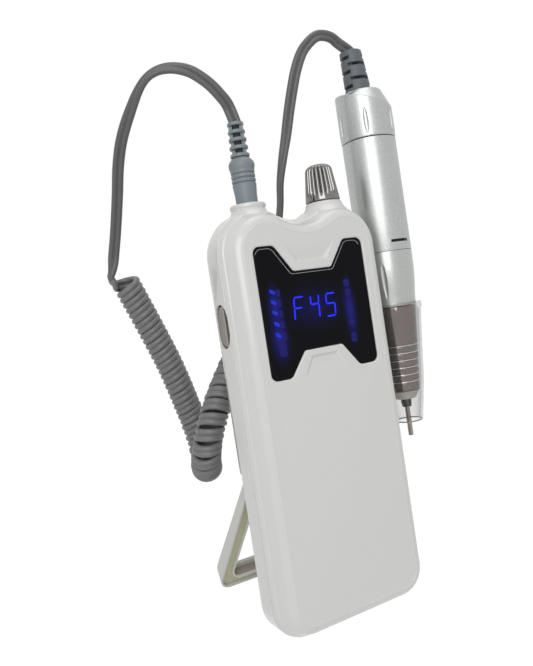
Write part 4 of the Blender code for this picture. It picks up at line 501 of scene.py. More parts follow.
class Shape:
    """Closed mesh under construction."""

    def __init__(self) -> None:
        """Starts empty."""
        self.mesh = bmesh.new()

    @classmethod
    def loft(cls, rings: Sequence[Sequence[Sequence[float]]], caps: bool = True) -> "Shape":
        """Surface through rings of equal count, with or without end faces.

        Args:
            rings: Rings of points.
            caps: Whether the ends are closed.

        Returns:
            The shape.
        """
        made = cls()
        rows = [[made.mesh.verts.new(p) for p in ring] for ring in rings]
        count = len(rows[0])
        for low, high in zip(rows, rows[1:]):
            for i in range(count):
                k = (i + 1) % count
                made.mesh.faces.new((low[i], low[k], high[k], high[i]))
        if caps:
            made.mesh.faces.new(rows[0])
            made.mesh.faces.new(rows[-1])
        return made

    @classmethod
    def prism(cls, outline: Sequence[Flat], low: float, high: float, axis: Axis = Axis.Z) -> "Shape":
        """Outline pushed along an axis.

        Args:
            outline: Figure that is pushed.
            low: Start along the axis.
            high: End along the axis.
            axis: Axis of the push.

        Returns:
            The shape.
        """
        rings = []
        for level in (low, high):
            values = [(*point, level) for point in outline]
            rings.append([tuple(v[k] for k in axis.value) for v in values])
        return cls.loft(rings)

    @classmethod
    def block(cls, low: Point, high: Point) -> "Shape":
        """Box between two corners."""
        corners = [(low[0], low[1]), (high[0], low[1]), (high[0], high[1]), (low[0], high[1])]
        return cls.prism(corners, low[2], high[2])

    @classmethod
    def turned(cls, profile: Sequence[Flat], sides: int = 96) -> "Shape":
        """Solid turned about z from a closed profile of radius and height.

        Args:
            profile: Points of radius and height.
            sides: Sides of the round.

        Returns:
            The shape.
        """
        made = cls()
        rows = []
        for radius, height in profile:
            ring = [(0.0, 0.0)] if radius == 0 else Outline.circle(radius, sides)
            rows.append([made.mesh.verts.new((x, y, height)) for x, y in ring])
        for low, high in zip(rows, rows[1:] + rows[:1]):
            if len(low) == 1 and len(high) == 1:
                continue
            for i in range(sides):
                k = (i + 1) % sides
                corners = [low[i % len(low)], low[k % len(low)], high[k % len(high)], high[i % len(high)]]
                made.mesh.faces.new(dict.fromkeys(corners))
        return made

    @classmethod
    def rod(cls, radius: float, low: float, high: float, sides: int = 32) -> "Shape":
        """Plain cylinder about z."""
        return cls.turned([(0, low), (radius, low), (radius, high), (0, high)], sides)

    @classmethod
    def lens(cls, half: Point, sides: int = 24) -> "Shape":
        """Ellipsoid with these half lengths.

        Args:
            half: Half length on each axis.
            sides: Steps from pole to pole.

        Returns:
            The shape.
        """
        angles = [pi * i / sides for i in range(sides + 1)]
        profile = [(sin(a) if 0 < i < sides else 0, -cos(a)) for i, a in enumerate(angles)]
        made = cls.turned(profile, 2 * sides)
        bmesh.ops.scale(made.mesh, vec=half, verts=made.mesh.verts)
        return made

    def moved(self, *offset: float) -> "Shape":
        """Shifts the shape."""
        bmesh.ops.translate(self.mesh, vec=offset, verts=self.mesh.verts)
        return self

    def spun(self, angle: float, axis: str = "Z") -> "Shape":
        """Turns the shape about an axis through the origin.

        Args:
            angle: Angle in degrees.
            axis: Axis of the turn.

        Returns:
            The same shape.
        """
        matrix = Matrix.Rotation(radians(angle), 3, axis)
        bmesh.ops.rotate(self.mesh, cent=(0, 0, 0), matrix=matrix, verts=self.mesh.verts)
        return self

    def along_x(self) -> "Shape":
        """Lays a shape made along z along x."""
        return self.spun(90, "Y")

    def along_y(self) -> "Shape":
        """Lays a shape made along z along y."""
        return self.spun(-90, "X")

    def mesh_data(self, name: str, place: Matrix) -> bpy.types.Mesh:
        """Mesh in its place in the row frame; the shape is used up.

        Args:
            name: Its name.
            place: Place in the row frame.

        Returns:
            The mesh.
        """
        bmesh.ops.recalc_face_normals(self.mesh, faces=self.mesh.faces)
        data = bpy.data.meshes.new(name)
        self.mesh.to_mesh(data)
        self.mesh.free()
        data.transform(place)
        return data

    @staticmethod
    def gathered(shapes: Iterable["Shape"]) -> "Shape":
        """Several shapes in one.

        Args:
            shapes: Shapes, which are used up.

        Returns:
            The shape that holds them all.
        """
        whole = Shape()
        for shape in shapes:
            data = shape.mesh_data("group", Matrix.Identity(4))
            whole.mesh.from_mesh(data)
            bpy.data.meshes.remove(data)
        return whole


class Route:
    """Lines in space."""

    @staticmethod
    def smooth(points: Sequence[Point], per_span: int = 24) -> np.ndarray:
        """Dense points on a smooth curve through points.

        Args:
            points: Points that it passes through.
            per_span: Points made for each span.

        Returns:
            The dense points.
        """
        base = np.array(points, float)
        before = np.vstack([2 * base[0] - base[1], base[:-1]])
        after = np.vstack([base[1:], 2 * base[-1] - base[-2]])
        slopes = (after - before) / 2
        share = np.arange(per_span) / per_span
        t = share[:, None]
        spans = []
        for i in range(len(base) - 1):
            spans.append(
                (2 * t**3 - 3 * t**2 + 1) * base[i] + (t**3 - 2 * t**2 + t) * slopes[i]
                + (-2 * t**3 + 3 * t**2) * base[i + 1] + (t**3 - t**2) * slopes[i + 1]
            )
        return np.vstack([*spans, base[-1:]])

    @staticmethod
    def travelled(points: np.ndarray) -> np.ndarray:
        """Length from the start to each point."""
        steps = np.linalg.norm(np.diff(points, axis=0), axis=1)
        return np.concatenate([[0.0], np.cumsum(steps)])

    @staticmethod
    def spaced(points: np.ndarray, spacing: float) -> np.ndarray:
        """Points at an even spacing, both ends kept.

        Args:
            points: Points of a line.
            spacing: Spacing that is aimed at.

        Returns:
            The new points.
        """
        way = Route.travelled(points)
        marks = np.linspace(0, way[-1], max(2, round(way[-1] / spacing)) + 1)
        return np.stack([np.interp(marks, way, points[:, k]) for k in range(3)], axis=1)

    @staticmethod
    def ways(points: np.ndarray) -> np.ndarray:
        """Unit direction at each point."""
        along = np.gradient(points, axis=0)
        return along / np.linalg.norm(along, axis=1)[:, None]

    @staticmethod
    def carried(along: np.ndarray, first: np.ndarray) -> np.ndarray:
        """Side vector carried along directions without twist.

        Args:
            along: Direction at each point.
            first: Side vector at the start.

        Returns:
            A side vector for each point.
        """
        side = first
        sides = []
        for direction in along:
            side = side - direction * (side @ direction)
            side = side / np.linalg.norm(side)
            sides.append(side)
        return np.array(sides)


class Maker:
    """Turns shapes into objects of the scene, hides the CAD nodes they stand for and hangs them on their bodies."""

    def __init__(self, place: Matrix) -> None:
        """Keeps the place of case coordinates in the row frame."""
        self.place = place

    def add(
        self,
        shape: Shape,
        name: str,
        body: Body | None,
        finish: Finish,
        replaces: Sequence[str] = (),
        cuts: Sequence[Shape] = (),
        joins: Sequence[Shape] = (),
        bevel: float = 0.0,
        angle: float = 32.0,
        place: Matrix | None = None,
    ) -> bpy.types.Object:
        """Makes one piece.

        Args:
            shape: Its mesh.
            name: Its name.
            body: Body it rides on, or none to leave it on no body.
            finish: Its surface.
            replaces: CAD nodes it stands for.
            cuts: Shapes taken out of it.
            joins: Shapes united with it before the cuts.
            bevel: Width of eased edges.
            angle: Edges sharper than this stay sharp.
            place: Place in the row frame, the case's if not given.

        Returns:
            The object.
        """
        where = self.place if place is None else place
        piece = self.link(name, shape.mesh_data(name, where))
        for tools, operation in ((joins, "UNION"), (cuts, "DIFFERENCE")):
            for tool in tools:
                self.combine(piece, tool.mesh_data("tool", where), operation)
        if bevel:
            ease = piece.modifiers.new("ease", "BEVEL")
            ease.width = bevel
            ease.segments = 3
            ease.limit_method = "ANGLE"
            ease.angle_limit = radians(angle)
            ease.harden_normals = False
            self.apply(piece)
        piece.data.shade_smooth()
        piece.data.set_sharp_from_angle(angle=radians(angle))
        piece.data.materials.clear()
        piece.data.materials.append(finish.material())
        if replaces:
            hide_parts(*replaces)
        if body is not None:
            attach(piece, body.value)
        log.info("%s: %d faces", name, len(piece.data.polygons))
        return piece

    @staticmethod
    def link(name: str, data: bpy.types.Mesh) -> bpy.types.Object:
        """Object in the scene.

        Args:
            name: Its name.
            data: Its mesh.

        Returns:
            The object.
        """
        made = bpy.data.objects.new(name, data)
        bpy.context.scene.collection.objects.link(made)
        return made

    def combine(self, piece: bpy.types.Object, data: bpy.types.Mesh, operation: str) -> None:
        """Unites a mesh with a piece, or takes it out.

        Args:
            piece: Piece that is changed.
            data: Mesh that is combined with it.
            operation: Name of the Boolean operation.
        """
        tool = self.link("tool", data)
        change = piece.modifiers.new("combine", "BOOLEAN")
        change.operation = operation
        change.solver = "EXACT"
        change.object = tool
        self.apply(piece)
        bpy.data.objects.remove(tool, do_unlink=True)

    @staticmethod
    def apply(piece: bpy.types.Object) -> None:
        """Makes a piece's modifiers part of its mesh.

        Args:
            piece: Piece that is changed.
        """
        graph = bpy.context.evaluated_depsgraph_get()
        made = bpy.data.meshes.new_from_object(piece.evaluated_get(graph))
        piece.modifiers.clear()
        piece.data = made


@dataclass(frozen=True)
class ControlBox:
    """Case halves, window, display reading, collar and knob seat."""

    width: float = 0.0750
    depth: float = 0.0260
    height: float = 0.1763
    corner: float = 0.0145
    hump: float = 0.0188
    valley_drop: float = 0.0053
    wall: float = 0.0022
    front_wall: float = 0.0024
    back_wall: float = 0.0022
    parting: float = 0.0090
    edge_run: float = 0.0070
    edge_depth: float = 0.0020
    slant: float = 0.0036
    crease: float = 14.0
    back_edge: float = 0.0080
    heel_half: float = 10.8
    groove: float = 0.0064
    groove_depth: float = 0.0004
    groove_half: float = 0.00045
    chamfer: float = 0.00028
    window_z: float = 0.1331
    window_width: float = 0.0528
    window_height: float = 0.0536
    window_top_notch: float = 0.0111
    window_bottom_notch: float = 0.0101
    window_notch: float = 0.0184
    window_mouth: float = 0.0338
    window_corner: float = 0.0030
    window_notch_corner: float = 0.0018
    lip: float = 0.0007
    pan_rim: float = 0.0005
    pan_floor: float = 0.0011
    pan_slope: float = 0.0010
    pan_back: float = 0.0019
    upper_pocket: tuple[float, ...] = (0.1534, 0.1587, 0.0060, 0.0110)
    lower_pocket: tuple[float, ...] = (0.1129, 0.1068, 0.0056, 0.0098)
    top_y: float = 0.0130
    collar: float = 0.0075
    collar_rise: float = 0.0025
    seat: float = 0.0078
    seat_rise: float = 0.0014
    seat_drop: float = 0.0013
    channel_x: float = 0.02885
    channel_y: float = 0.0186
    channel_top: float = 0.06955
    channel_wall: float = 0.0020
    screw_sink: float = 0.0070
    screw_joint: float = 0.0130
    button_z: float = 0.1308
    button_y: float = 0.0146
    button_length: float = 0.0170
    button_width: float = 0.0098
    button_gap: float = 0.0005

    @property
    def side(self) -> float:
        """Half the width."""
        return self.width / 2

    @property
    def hump_x(self) -> float:
        """Middle of a hump."""
        return self.side - self.hump

    def heel(self) -> Point:
        """Middle of the flat on which the case stands.

        Returns:
            Its place in case coordinates.
        """
        reach = self.back_edge * cos(radians(self.heel_half))
        y = self.depth - self.back_edge + reach * sin(radians(LEAN))
        return (0.0, y, self.back_edge - reach * cos(radians(LEAN)))

    def place(self) -> Matrix:
        """Place of case coordinates in the row frame."""
        turn = Matrix.Rotation(radians(-LEAN), 4, "X")
        return Matrix.Translation(-(turn @ Vector(self.heel()))) @ turn

    def outline(self, inset: float = 0.0) -> list[Flat]:
        """Twin humps joined by a hollow, moved in by inset.

        Args:
            inset: How far it is moved in.

        Returns:
            Points of the outline.
        """
        hump_z = self.height - self.hump
        rise = self.hump - self.valley_drop
        valley = (self.hump_x**2 + rise**2 - self.hump**2) / (2 * self.valley_drop)
        meet = degrees(atan2(rise + valley, self.hump_x))
        corner_x = self.side - self.corner
        corner = self.corner - inset
        hump = self.hump - inset
        points = Outline.arc(corner_x, self.corner, corner, -90, 0, 14)
        points += Outline.arc(self.hump_x, hump_z, hump, 0, 180 - meet, 28)
        points += Outline.arc(0, hump_z + rise + valley, valley + inset, -meet, meet - 180, 20)[1:-1]
        points += Outline.arc(-self.hump_x, hump_z, hump, meet, 180, 28)
        return points + Outline.arc(-corner_x, self.corner, corner, 180, 270, 14)

    def ring(self, depth: float, inset: float) -> Ring:
        """Outline at a depth."""
        return [(x, depth, z) for x, z in self.outline(inset)]

    def window(self, grow: float = 0.0) -> list[Flat]:
        """Outline of the window, with a notch above and below.

        Args:
            grow: How far it is moved out.

        Returns:
            Points of the outline.
        """
        half = self.window_width / 2 + grow
        top = self.window_height / 2 + grow
        mouth = self.window_mouth / 2 - grow
        floor = self.window_notch / 2 - grow
        upper = top - self.window_top_notch
        lower = -top + self.window_bottom_notch
        corners = [
            (half, -top), (half, top), (mouth, top), (floor, upper), (-floor, upper), (-mouth, top),
            (-half, top), (-half, -top), (-mouth, -top), (-floor, lower), (floor, lower), (mouth, -top),
        ]
        big, small = self.window_corner, self.window_notch_corner
        radii = [big, big, big, small, small, big] * 2
        return [(x, z + self.window_z) for x, z in Outline.rounded(corners, radii)]

    def window_ring(self, grow: float, depth: float) -> Ring:
        """Window outline at a depth."""
        return [(x, depth, z) for x, z in self.window(grow)]

    def opening(self) -> Shape:
        """Window opening with a rounded lip.

        Returns:
            Shape that is cut out.
        """
        steps = 6
        rings = [self.window_ring(self.lip, -OVERCUT)]
        for i in range(steps + 1):
            angle = pi / 2 * i / steps
            rings.append(self.window_ring(self.lip * (1 - sin(angle)), self.lip * (1 - cos(angle))))
        rings.append(self.window_ring(0.0, self.pan_back + GAP))
        rings.append(self.window_ring(-0.0012, self.pan_back + GAP))
        rings.append(self.window_ring(-0.0012, self.front_wall + OVERCUT))
        return Shape.loft(rings)

    def pocket(self, near: float, far: float, narrow: float, wide: float) -> Shape:
        """Shallow trapezoid beside the window, sinking towards it, with sloping edges.

        Args:
            near: Level of its deep edge.
            far: Level of its shallow edge.
            narrow: Half width at the deep edge.
            wide: Half width at the shallow edge.

        Returns:
            Shape that is cut out.
        """
        sink, edge = 0.0012, 0.0011
        way = 1 if far > near else -1
        floor = [(-narrow, sink, near), (narrow, sink, near), (wide, 0.0001, far), (-wide, 0.0001, far)]
        slope = edge * way
        mouth = [
            (-narrow - edge, 0.0, near - slope), (narrow + edge, 0.0, near - slope),
            (wide + edge, 0.0, far + slope), (-wide - edge, 0.0, far + slope),
        ]
        above = [(x, -OVERCUT, z) for x, _, z in mouth]
        return Shape.loft([above, mouth, floor])

    def seats(self) -> list[Shape]:
        """Round seats in the humps, with the holes for the necks that come up through them.

        Returns:
            Shapes that are cut out.
        """
        low = self.height - self.hump
        floor = self.height - self.seat_drop
        high = self.height + OVERCUT
        shapes = []
        for x, seat, neck in ((-self.hump_x, self.collar, 0.0039), (self.hump_x, self.seat, 0.0037)):
            profile = [(0, low), (neck, low), (neck, floor), (seat - GAP, floor), (seat - GAP, high), (0, high)]
            shapes.append(Shape.turned(profile, 64).moved(x, self.top_y, 0))
        return shapes

    def side_inset(self, depth: float) -> float:
        """How far the slanted side of the front half stands in at a depth."""
        return self.slant * (self.parting - depth) / (self.parting - self.edge_depth)

    def front_rings(self) -> list[Ring]:
        """Rings of the front half: flat face, rounded edge, slanted side, groove, rim and inside.

        Returns:
            The rings in order.
        """
        steps = 14
        start = radians(self.crease)
        end = pi / 2 - atan2(self.slant, self.parting - self.edge_depth)
        bead = ((0.0006, 0.0), (0.00036, 0.0), (0.00026, 0.00009), (0.00014, 0.00011), (0.00005, 0.00006))
        rings = [self.ring(-rise, self.edge_run + inset) for inset, rise in bead]
        for i in range(steps + 1):
            angle = start + (end - start) * i / steps
            depth = self.edge_depth * (cos(start) - cos(angle)) / (cos(start) - cos(end))
            share = (sin(end) - sin(angle)) / (sin(end) - sin(start))
            rings.append(self.ring(depth, self.slant + (self.edge_run - self.slant) * share))
        for share, sink in ((-1.0, 0.0), (-0.5, 0.7), (0.0, 1.0), (0.5, 0.7), (1.0, 0.0)):
            depth = self.groove + share * self.groove_half
            rings.append(self.ring(depth, self.side_inset(depth) + sink * self.groove_depth))
        rim = self.parting - GAP / 2
        for share in (0.0, 0.7, 1.0):
            depth = rim - self.chamfer * (1 - share)
            rings.append(self.ring(depth, self.side_inset(depth) + self.chamfer * share**3))
        rings.append(self.ring(rim, self.wall))
        rings.append(self.ring(self.front_wall, self.wall + self.side_inset(self.front_wall)))
        return rings

    def rear_rings(self) -> list[Ring]:
        """Outer rings of the rear half; the facet at the heel lies on the table.

        Returns:
            The rings in order.
        """
        rim = self.parting + GAP / 2
        rings = [
            self.ring(rim, self.chamfer), self.ring(rim + self.chamfer * 0.3, self.chamfer * 0.3),
            self.ring(rim + self.chamfer, 0),
        ]
        first, second = LEAN - self.heel_half, LEAN + self.heel_half
        for angle in [first] + [second + (90 - second) * i / 9 for i in range(10)]:
            depth = self.depth - self.back_edge * (1 - sin(radians(angle)))
            rings.append(self.ring(depth, self.back_edge * (1 - cos(radians(angle)))))
        rings.append(self.ring(self.depth, self.back_edge + 0.0006))
        return rings

    def hollows(self) -> list[Shape]:
        """Hollows of the rear half, above, between and in front of the stand's channels.

        Returns:
            Shapes that are cut out.
        """
        start = self.channel_y - self.channel_wall
        step = self.channel_top + self.channel_wall
        turn = self.depth - self.back_edge
        rings = []
        for depth, inset in ((start - OVERCUT, self.wall), (turn, self.wall),
                             (self.depth - self.back_wall, self.back_edge)):
            rings.append([(x, depth, max(z, step)) for x, z in self.outline(inset)])
        half = self.channel_x - self.channel_wall
        low = (-half, start - OVERCUT, self.back_edge)
        high = (half, self.depth - self.back_wall, step + OVERCUT)
        return [Shape.prism(self.outline(self.wall), 0, start, Axis.Y), Shape.loft(rings), Shape.block(low, high)]

    def screw_places(self) -> list[Flat]:
        """Places of the four cover screws."""
        high_x = self.side - 0.0080
        return [(-0.0232, 0.0130), (0.0232, 0.0130), (-high_x, 0.1580), (high_x, 0.1580)]

    def build(self, maker: Maker) -> None:
        """Makes the case and what is fixed on it.

        Args:
            maker: Adds the pieces.
        """
        self.build_front(maker)
        self.build_rear(maker)
        self.build_top(maker)
        self.build_window(maker)

    def build_front(self, maker: Maker) -> None:
        """Front half with its window opening and the two pockets beside it.

        Args:
            maker: Adds the pieces.
        """
        cuts = [self.opening(), self.pocket(*self.upper_pocket), self.pocket(*self.lower_pocket)]
        maker.add(
            Shape.loft(self.front_rings()), "case_front", Body.BOX, WHITE, ["front_cover"],
            cuts=cuts + self.seats(), angle=20.0,
        )

    def build_rear(self, maker: Maker) -> None:
        """Rear half with the stand's channels, screw posts, button hole and charging hole.

        Args:
            maker: Adds the pieces.
        """
        posts, cuts = [], []
        start = self.screw_joint + GAP / 2
        seat = self.depth - self.screw_sink - start
        for x, z in self.screw_places():
            posts.append(Shape.rod(0.0036, 0, self.depth - self.back_wall / 2 - start).along_y().moved(x, start, z))
            far = seat + self.screw_sink + OVERCUT
            profile = [(0, -OVERCUT), (0.0014, -OVERCUT), (0.0014, seat), (0.0027, seat), (0.0027, far), (0, far)]
            cuts.append(Shape.turned(profile, 32).along_y().moved(x, start, z))
        channels = []
        for side in (-1, 1):
            spans = sorted((side * self.channel_x, side * (self.side + OVERCUT)))
            low = (spans[0], self.channel_y, -OVERCUT)
            channels.append(Shape.block(low, (spans[1], self.depth + OVERCUT, self.channel_top)))
        reach = OVERCUT + self.wall
        hole = Outline.capsule(self.button_length + 2 * self.button_gap, self.button_width + 2 * self.button_gap)
        button = Shape.prism(hole, -self.side - OVERCUT, -self.side + reach, Axis.X)
        cuts.append(button.moved(0, self.button_y, self.button_z))
        port = Shape.prism(Outline.capsule(0.0096, 0.0038), -OVERCUT, reach).spun(90)
        cuts.append(port.moved(0, self.top_y, 0))
        maker.add(
            Shape.loft(self.rear_rings()), "case_rear", Body.BOX, WHITE, ["rear_cover"],
            joins=[Shape.gathered(posts)],
            cuts=[*self.hollows(), Shape.gathered(channels), Shape.gathered(cuts + self.seats())], angle=20.0,
        )

    def build_top(self, maker: Maker) -> None:
        """Collar of the socket and seat of the knob, each flowing into its hump.

        Args:
            maker: Adds the pieces.
        """
        top = self.height + self.collar_rise
        base = self.height - self.seat_drop + GAP
        r = self.collar
        flare = Outline.flowing([(r - 0.0004, top - 0.0020), (r + 0.0003, top - 0.0036), (r + 0.0024, top - 0.0062)], 5)
        profile = [(0.0039, base), (0.0039, top), (r - 0.0005, top), (r, top - 0.0004), (r, top - 0.0016)]
        profile += flare + [(r, self.height - 0.0062)]
        shape = Shape.turned(Outline.softened(profile, 0.0002)).moved(-self.hump_x, self.top_y, 0)
        maker.add(shape, "collar", Body.BOX, WHITE, ["socket_collar"])
        top = self.height + self.seat_rise
        r = self.seat
        flare = Outline.flowing([(r, top - 0.0004), (r + 0.0006, top - 0.0022), (r + 0.0024, top - 0.0046)], 6)
        profile = [(0.0037, base), (0.0037, top), (r - 0.0004, top)] + flare + [(r, self.height - 0.0060)]
        shape = Shape.turned(Outline.softened(profile, 0.0002)).moved(self.hump_x, self.top_y, 0)
        maker.add(shape, "seat_of_knob", Body.BOX, WHITE, ["knob_seat"])

    def build_window(self, maker: Maker) -> None:
        """Black window pan with its sloping rim, a light line painted as its edge highlight, and the lit reading.

        Args:
            maker: Adds the pieces.
        """
        inset = -GAP / 6
        rings = [
            self.window_ring(-self.pan_slope - 0.0004, self.pan_floor),
            self.window_ring(-self.pan_slope, self.pan_floor),
            self.window_ring(inset - 0.0002, self.pan_rim + 0.0001), self.window_ring(inset, self.pan_rim + 0.0002),
            self.window_ring(inset, self.pan_back),
        ]
        maker.add(Shape.loft(rings), "window_pan", Body.BOX, self.window_finish(maker.place), ["display_window"],
                  angle=50)
        self.build_edge_highlight(maker)
        Reading(self.pan_floor).build(maker)

    def window_finish(self, place: Matrix) -> SmokedWindow:
        """Black finish with halos where the display is lit.

        Args:
            place: Place of case coordinates in the row frame.

        Returns:
            The finish.
        """
        spots = []
        for spot, reach, weight in (
            ((-0.0012, 0.1335), (0.0200, 0.0130), 0.3), ((-0.0196, 0.1230), (0.0060, 0.0140), 1.0),
            ((-0.0196, 0.1360), (0.0050, 0.0120), 1.0), ((0.0162, 0.1300), (0.0045, 0.0180), 1.0),
        ):
            centre = place @ Vector((spot[0], self.pan_floor, spot[1]))
            spots.append((tuple(centre), (reach[0], reach[1], reach[1]), weight))
        return SmokedWindow("lit_window", "smoked_window", (0.006, 0.006, 0.008), 0.09, spots=tuple(spots))

    def build_edge_highlight(self, maker: Maker) -> None:
        """Thin light grey tube where the pan's floor meets its slope, along the upper edges only: a painted highlight.

        Args:
            maker: Adds the pieces.
        """
        outline = self.window(-self.pan_slope)
        level = self.window_z + self.window_height / 2 - self.window_top_notch - 0.0025
        runs: list[list[Flat]] = [[]]
        for x, z in outline + outline[:1]:
            if z > level and abs(x) < self.window_width / 2 - self.pan_slope - 0.0001:
                runs[-1].append((x, z))
            elif runs[-1]:
                runs.append([])
        shapes = []
        for run in runs:
            if len(run) > 3:
                line = np.array([(x, self.pan_floor - 0.00006, z) for x, z in run])
                shapes.append(Tube.round(line, 0.00011, 6))
        # Light line along the upper edges: painted highlight.
        maker.add(Shape.gathered(shapes), "window_edge_highlight", Body.BOX, PAN_EDGE_HIGHLIGHT)


@dataclass(frozen=True)
class Reading:
    """Lit strokes of the display: three slanted characters and two ladders of bars."""

    floor: float
    stroke: float = 0.0007
    lift: float = 0.00006

    def stroke_shape(self, start: Flat, end: Flat, width: float) -> Shape:
        """Thin bar with pointed ends lying on the window's floor.

        Args:
            start: One end.
            end: Other end.
            width: Width of the bar.

        Returns:
            The shape.
        """
        first, last = Vector(start), Vector(end)
        way = (last - first).normalized()
        side = Vector((-way.y, way.x)) * width / 2
        tip = way * width * 0.5
        corners = [first, first + tip + side, last - tip + side, last, last - tip - side, first + tip - side]
        return Shape.prism([tuple(c) for c in corners], self.floor - self.lift, self.floor + self.lift, Axis.Y)

    def bar(self, left: float, right: float, high: float, low: float) -> Shape:
        """Soft-cornered bar of a ladder.

        Args:
            left: Left edge.
            right: Right edge.
            high: Upper edge.
            low: Lower edge.

        Returns:
            The shape.
        """
        corner = min(right - left, high - low) * 0.3
        figure = Outline.rounded([(left, low), (right, low), (right, high), (left, high)], [corner] * 4, 4)
        return Shape.prism(figure, self.floor - self.lift, self.floor + self.lift, Axis.Y)

    def tick(self, left: float, right: float, high: float, low: float) -> Shape:
        """Slanting bar of the left ladder, its left end higher.

        Args:
            left: Left edge.
            right: Right edge.
            high: Upper edge.
            low: Lower edge.

        Returns:
            The shape.
        """
        drop = (high - low) * 0.45
        corners = [(left, low + drop), (right, low), (right, high - drop), (left, high)]
        figure = Outline.rounded(corners, [drop * 0.3] * 4, 4)
        return Shape.prism(figure, self.floor - self.lift, self.floor + self.lift, Axis.Y)

    def build(self, maker: Maker) -> None:
        """Makes the characters and the bars.

        Args:
            maker: Adds the pieces.
        """
        mm = 0.001
        lines = [
            ((-10.5, 138.1), (-6.2, 138.15)), ((-10.9, 133.75), (-7.2, 133.8)), ((-10.6, 138.0), (-11.0, 133.9)),
            ((-11.0, 133.6), (-11.35, 129.2)),
            ((-2.7, 137.8), (-2.95, 134.4)), ((-2.9, 134.4), (1.0, 134.5)), ((1.2, 138.1), (0.95, 134.7)),
            ((0.95, 134.3), (0.6, 128.9)),
            ((5.0, 137.9), (9.3, 137.95)), ((4.95, 137.8), (4.7, 134.0)), ((4.75, 133.8), (8.8, 133.85)),
            ((8.8, 133.7), (8.5, 128.9)), ((4.2, 128.6), (8.4, 128.65)),
        ]
        shapes = []
        for start, end in lines:
            first = (start[0] * mm, start[1] * mm)
            shapes.append(self.stroke_shape(first, (end[0] * mm, end[1] * mm), self.stroke))
        maker.add(Shape.gathered(shapes), "reading", Body.BOX, DIGIT_GLOW)
        ticks = [(143.0, 140.2), (138.8, 136.0), (134.6, 131.8), (130.2, 127.2), (125.8, 122.6)]
        shapes = [self.tick(-21.3 * mm, -18.9 * mm, high * mm, low * mm) for high, low in ticks]
        maker.add(Shape.gathered(shapes), "left_ticks", Body.BOX, BAR_GLOW)
        right = [(142.9, 139.8), (138.8, 135.7), (134.2, 131.7), (130.4, 127.9), (125.7, 123.4), (120.0, 116.1)]
        shapes = [self.bar(14.6 * mm, 17.5 * mm, high * mm, low * mm) for high, low in right]
        shapes.append(self.bar(-20.8 * mm, -17.2 * mm, 121.6 * mm, 115.4 * mm))
        shapes += [self.bar(-18.6 * mm, -16.6 * mm, (high - 0.6) * mm, (low - 0.6) * mm) for high, low in ticks]
        maker.add(Shape.gathered(shapes), "dim_bars", Body.BOX, DIM_GLOW)


class Tube:
    """Meshes swept along a line."""

    @staticmethod
    def swept(path: np.ndarray, widths: np.ndarray, section: Sequence[Flat]) -> Shape:
        """Section carried along a path, its first axis kept on the width vectors.

        Args:
            path: Centre line.
            widths: Width vector at each point.
            section: Figure that is carried.

        Returns:
            The shape.
        """
        along = Route.ways(path)
        thick = np.cross(along, widths)
        rings = []
        for centre, wide, deep in zip(path, widths, thick):
            rings.append([tuple(centre + wide * a + deep * b) for a, b in section])
        return Shape.loft(rings)

    @staticmethod
    def round(path: np.ndarray, radius: float, sides: int) -> Shape:
        """Round tube."""
        widths = Route.carried(Route.ways(path), np.array([0.31, 0.55, 0.77]))
        return Tube.swept(path, widths, Outline.circle(radius, sides))


@dataclass(frozen=True)
class SpeedKnob:
    """Chromed fluted knob."""

    base: float = 0.0076
    top: float = 0.0060
    height: float = 0.0162
    crown: float = 0.0030
    flutes: int = 20
    flute_depth: float = 0.00085
    points: int = 240
    pocket: float = 0.0062
    pocket_depth: float = 0.0036
    bore: float = 0.0032
    bore_depth: float = 0.0125

    def fluted(self, radius: float, level: float, depth: float) -> Ring:
        """Ring scalloped by rounded flutes.

        Args:
            radius: Outer radius.
            level: Height of the ring.
            depth: Depth of the flutes.

        Returns:
            The ring.
        """
        ring = []
        for i in range(self.points):
            angle = 2 * pi * i / self.points
            wave = abs(sin(angle * self.flutes / 2))
            reach = radius - depth * (1 - wave) ** 1.2
            ring.append((reach * cos(angle), reach * sin(angle), level))
        return ring

    def build(self, maker: Maker, spot: Point) -> None:
        """Makes the knob standing at a spot in case coordinates.

        Args:
            maker: Adds the pieces.
            spot: Its place in case coordinates.
        """
        side = self.height - self.crown
        rings = [self.fluted(self.bore, self.bore_depth, 0), self.fluted(self.bore, self.pocket_depth, 0)]
        rings += [self.fluted(self.pocket, self.pocket_depth, 0), self.fluted(self.pocket, 0, 0)]
        rings += [self.fluted(self.base - 0.0002, 0, 0), self.fluted(self.base, 0.0003, 0)]
        for i in range(13):
            share = i / 12
            level = 0.0004 + share * (side - 0.0004)
            ease = min(1.0, max(0.0, (share - 0.08) / 0.22))
            depth = self.flute_depth * ease * ease * (3 - 2 * ease)
            rings.append(self.fluted(self.base + (self.top - self.base) * share, level, depth))
        for i in range(1, 10):
            angle = pi / 2 * i / 10
            reach = self.top * (0.42 + 0.58 * cos(angle))
            fade = max(0.0, 1 - i / 7)
            rings.append(self.fluted(reach, side + self.crown * sin(angle), self.flute_depth * fade))
        rings.append(self.fluted(self.top * 0.30, self.height, 0))
        maker.add(Shape.loft(rings).moved(*spot), "fluted_knob", Body.KNOB, KNOB_CHROME, ["speed_knob"], angle=50)


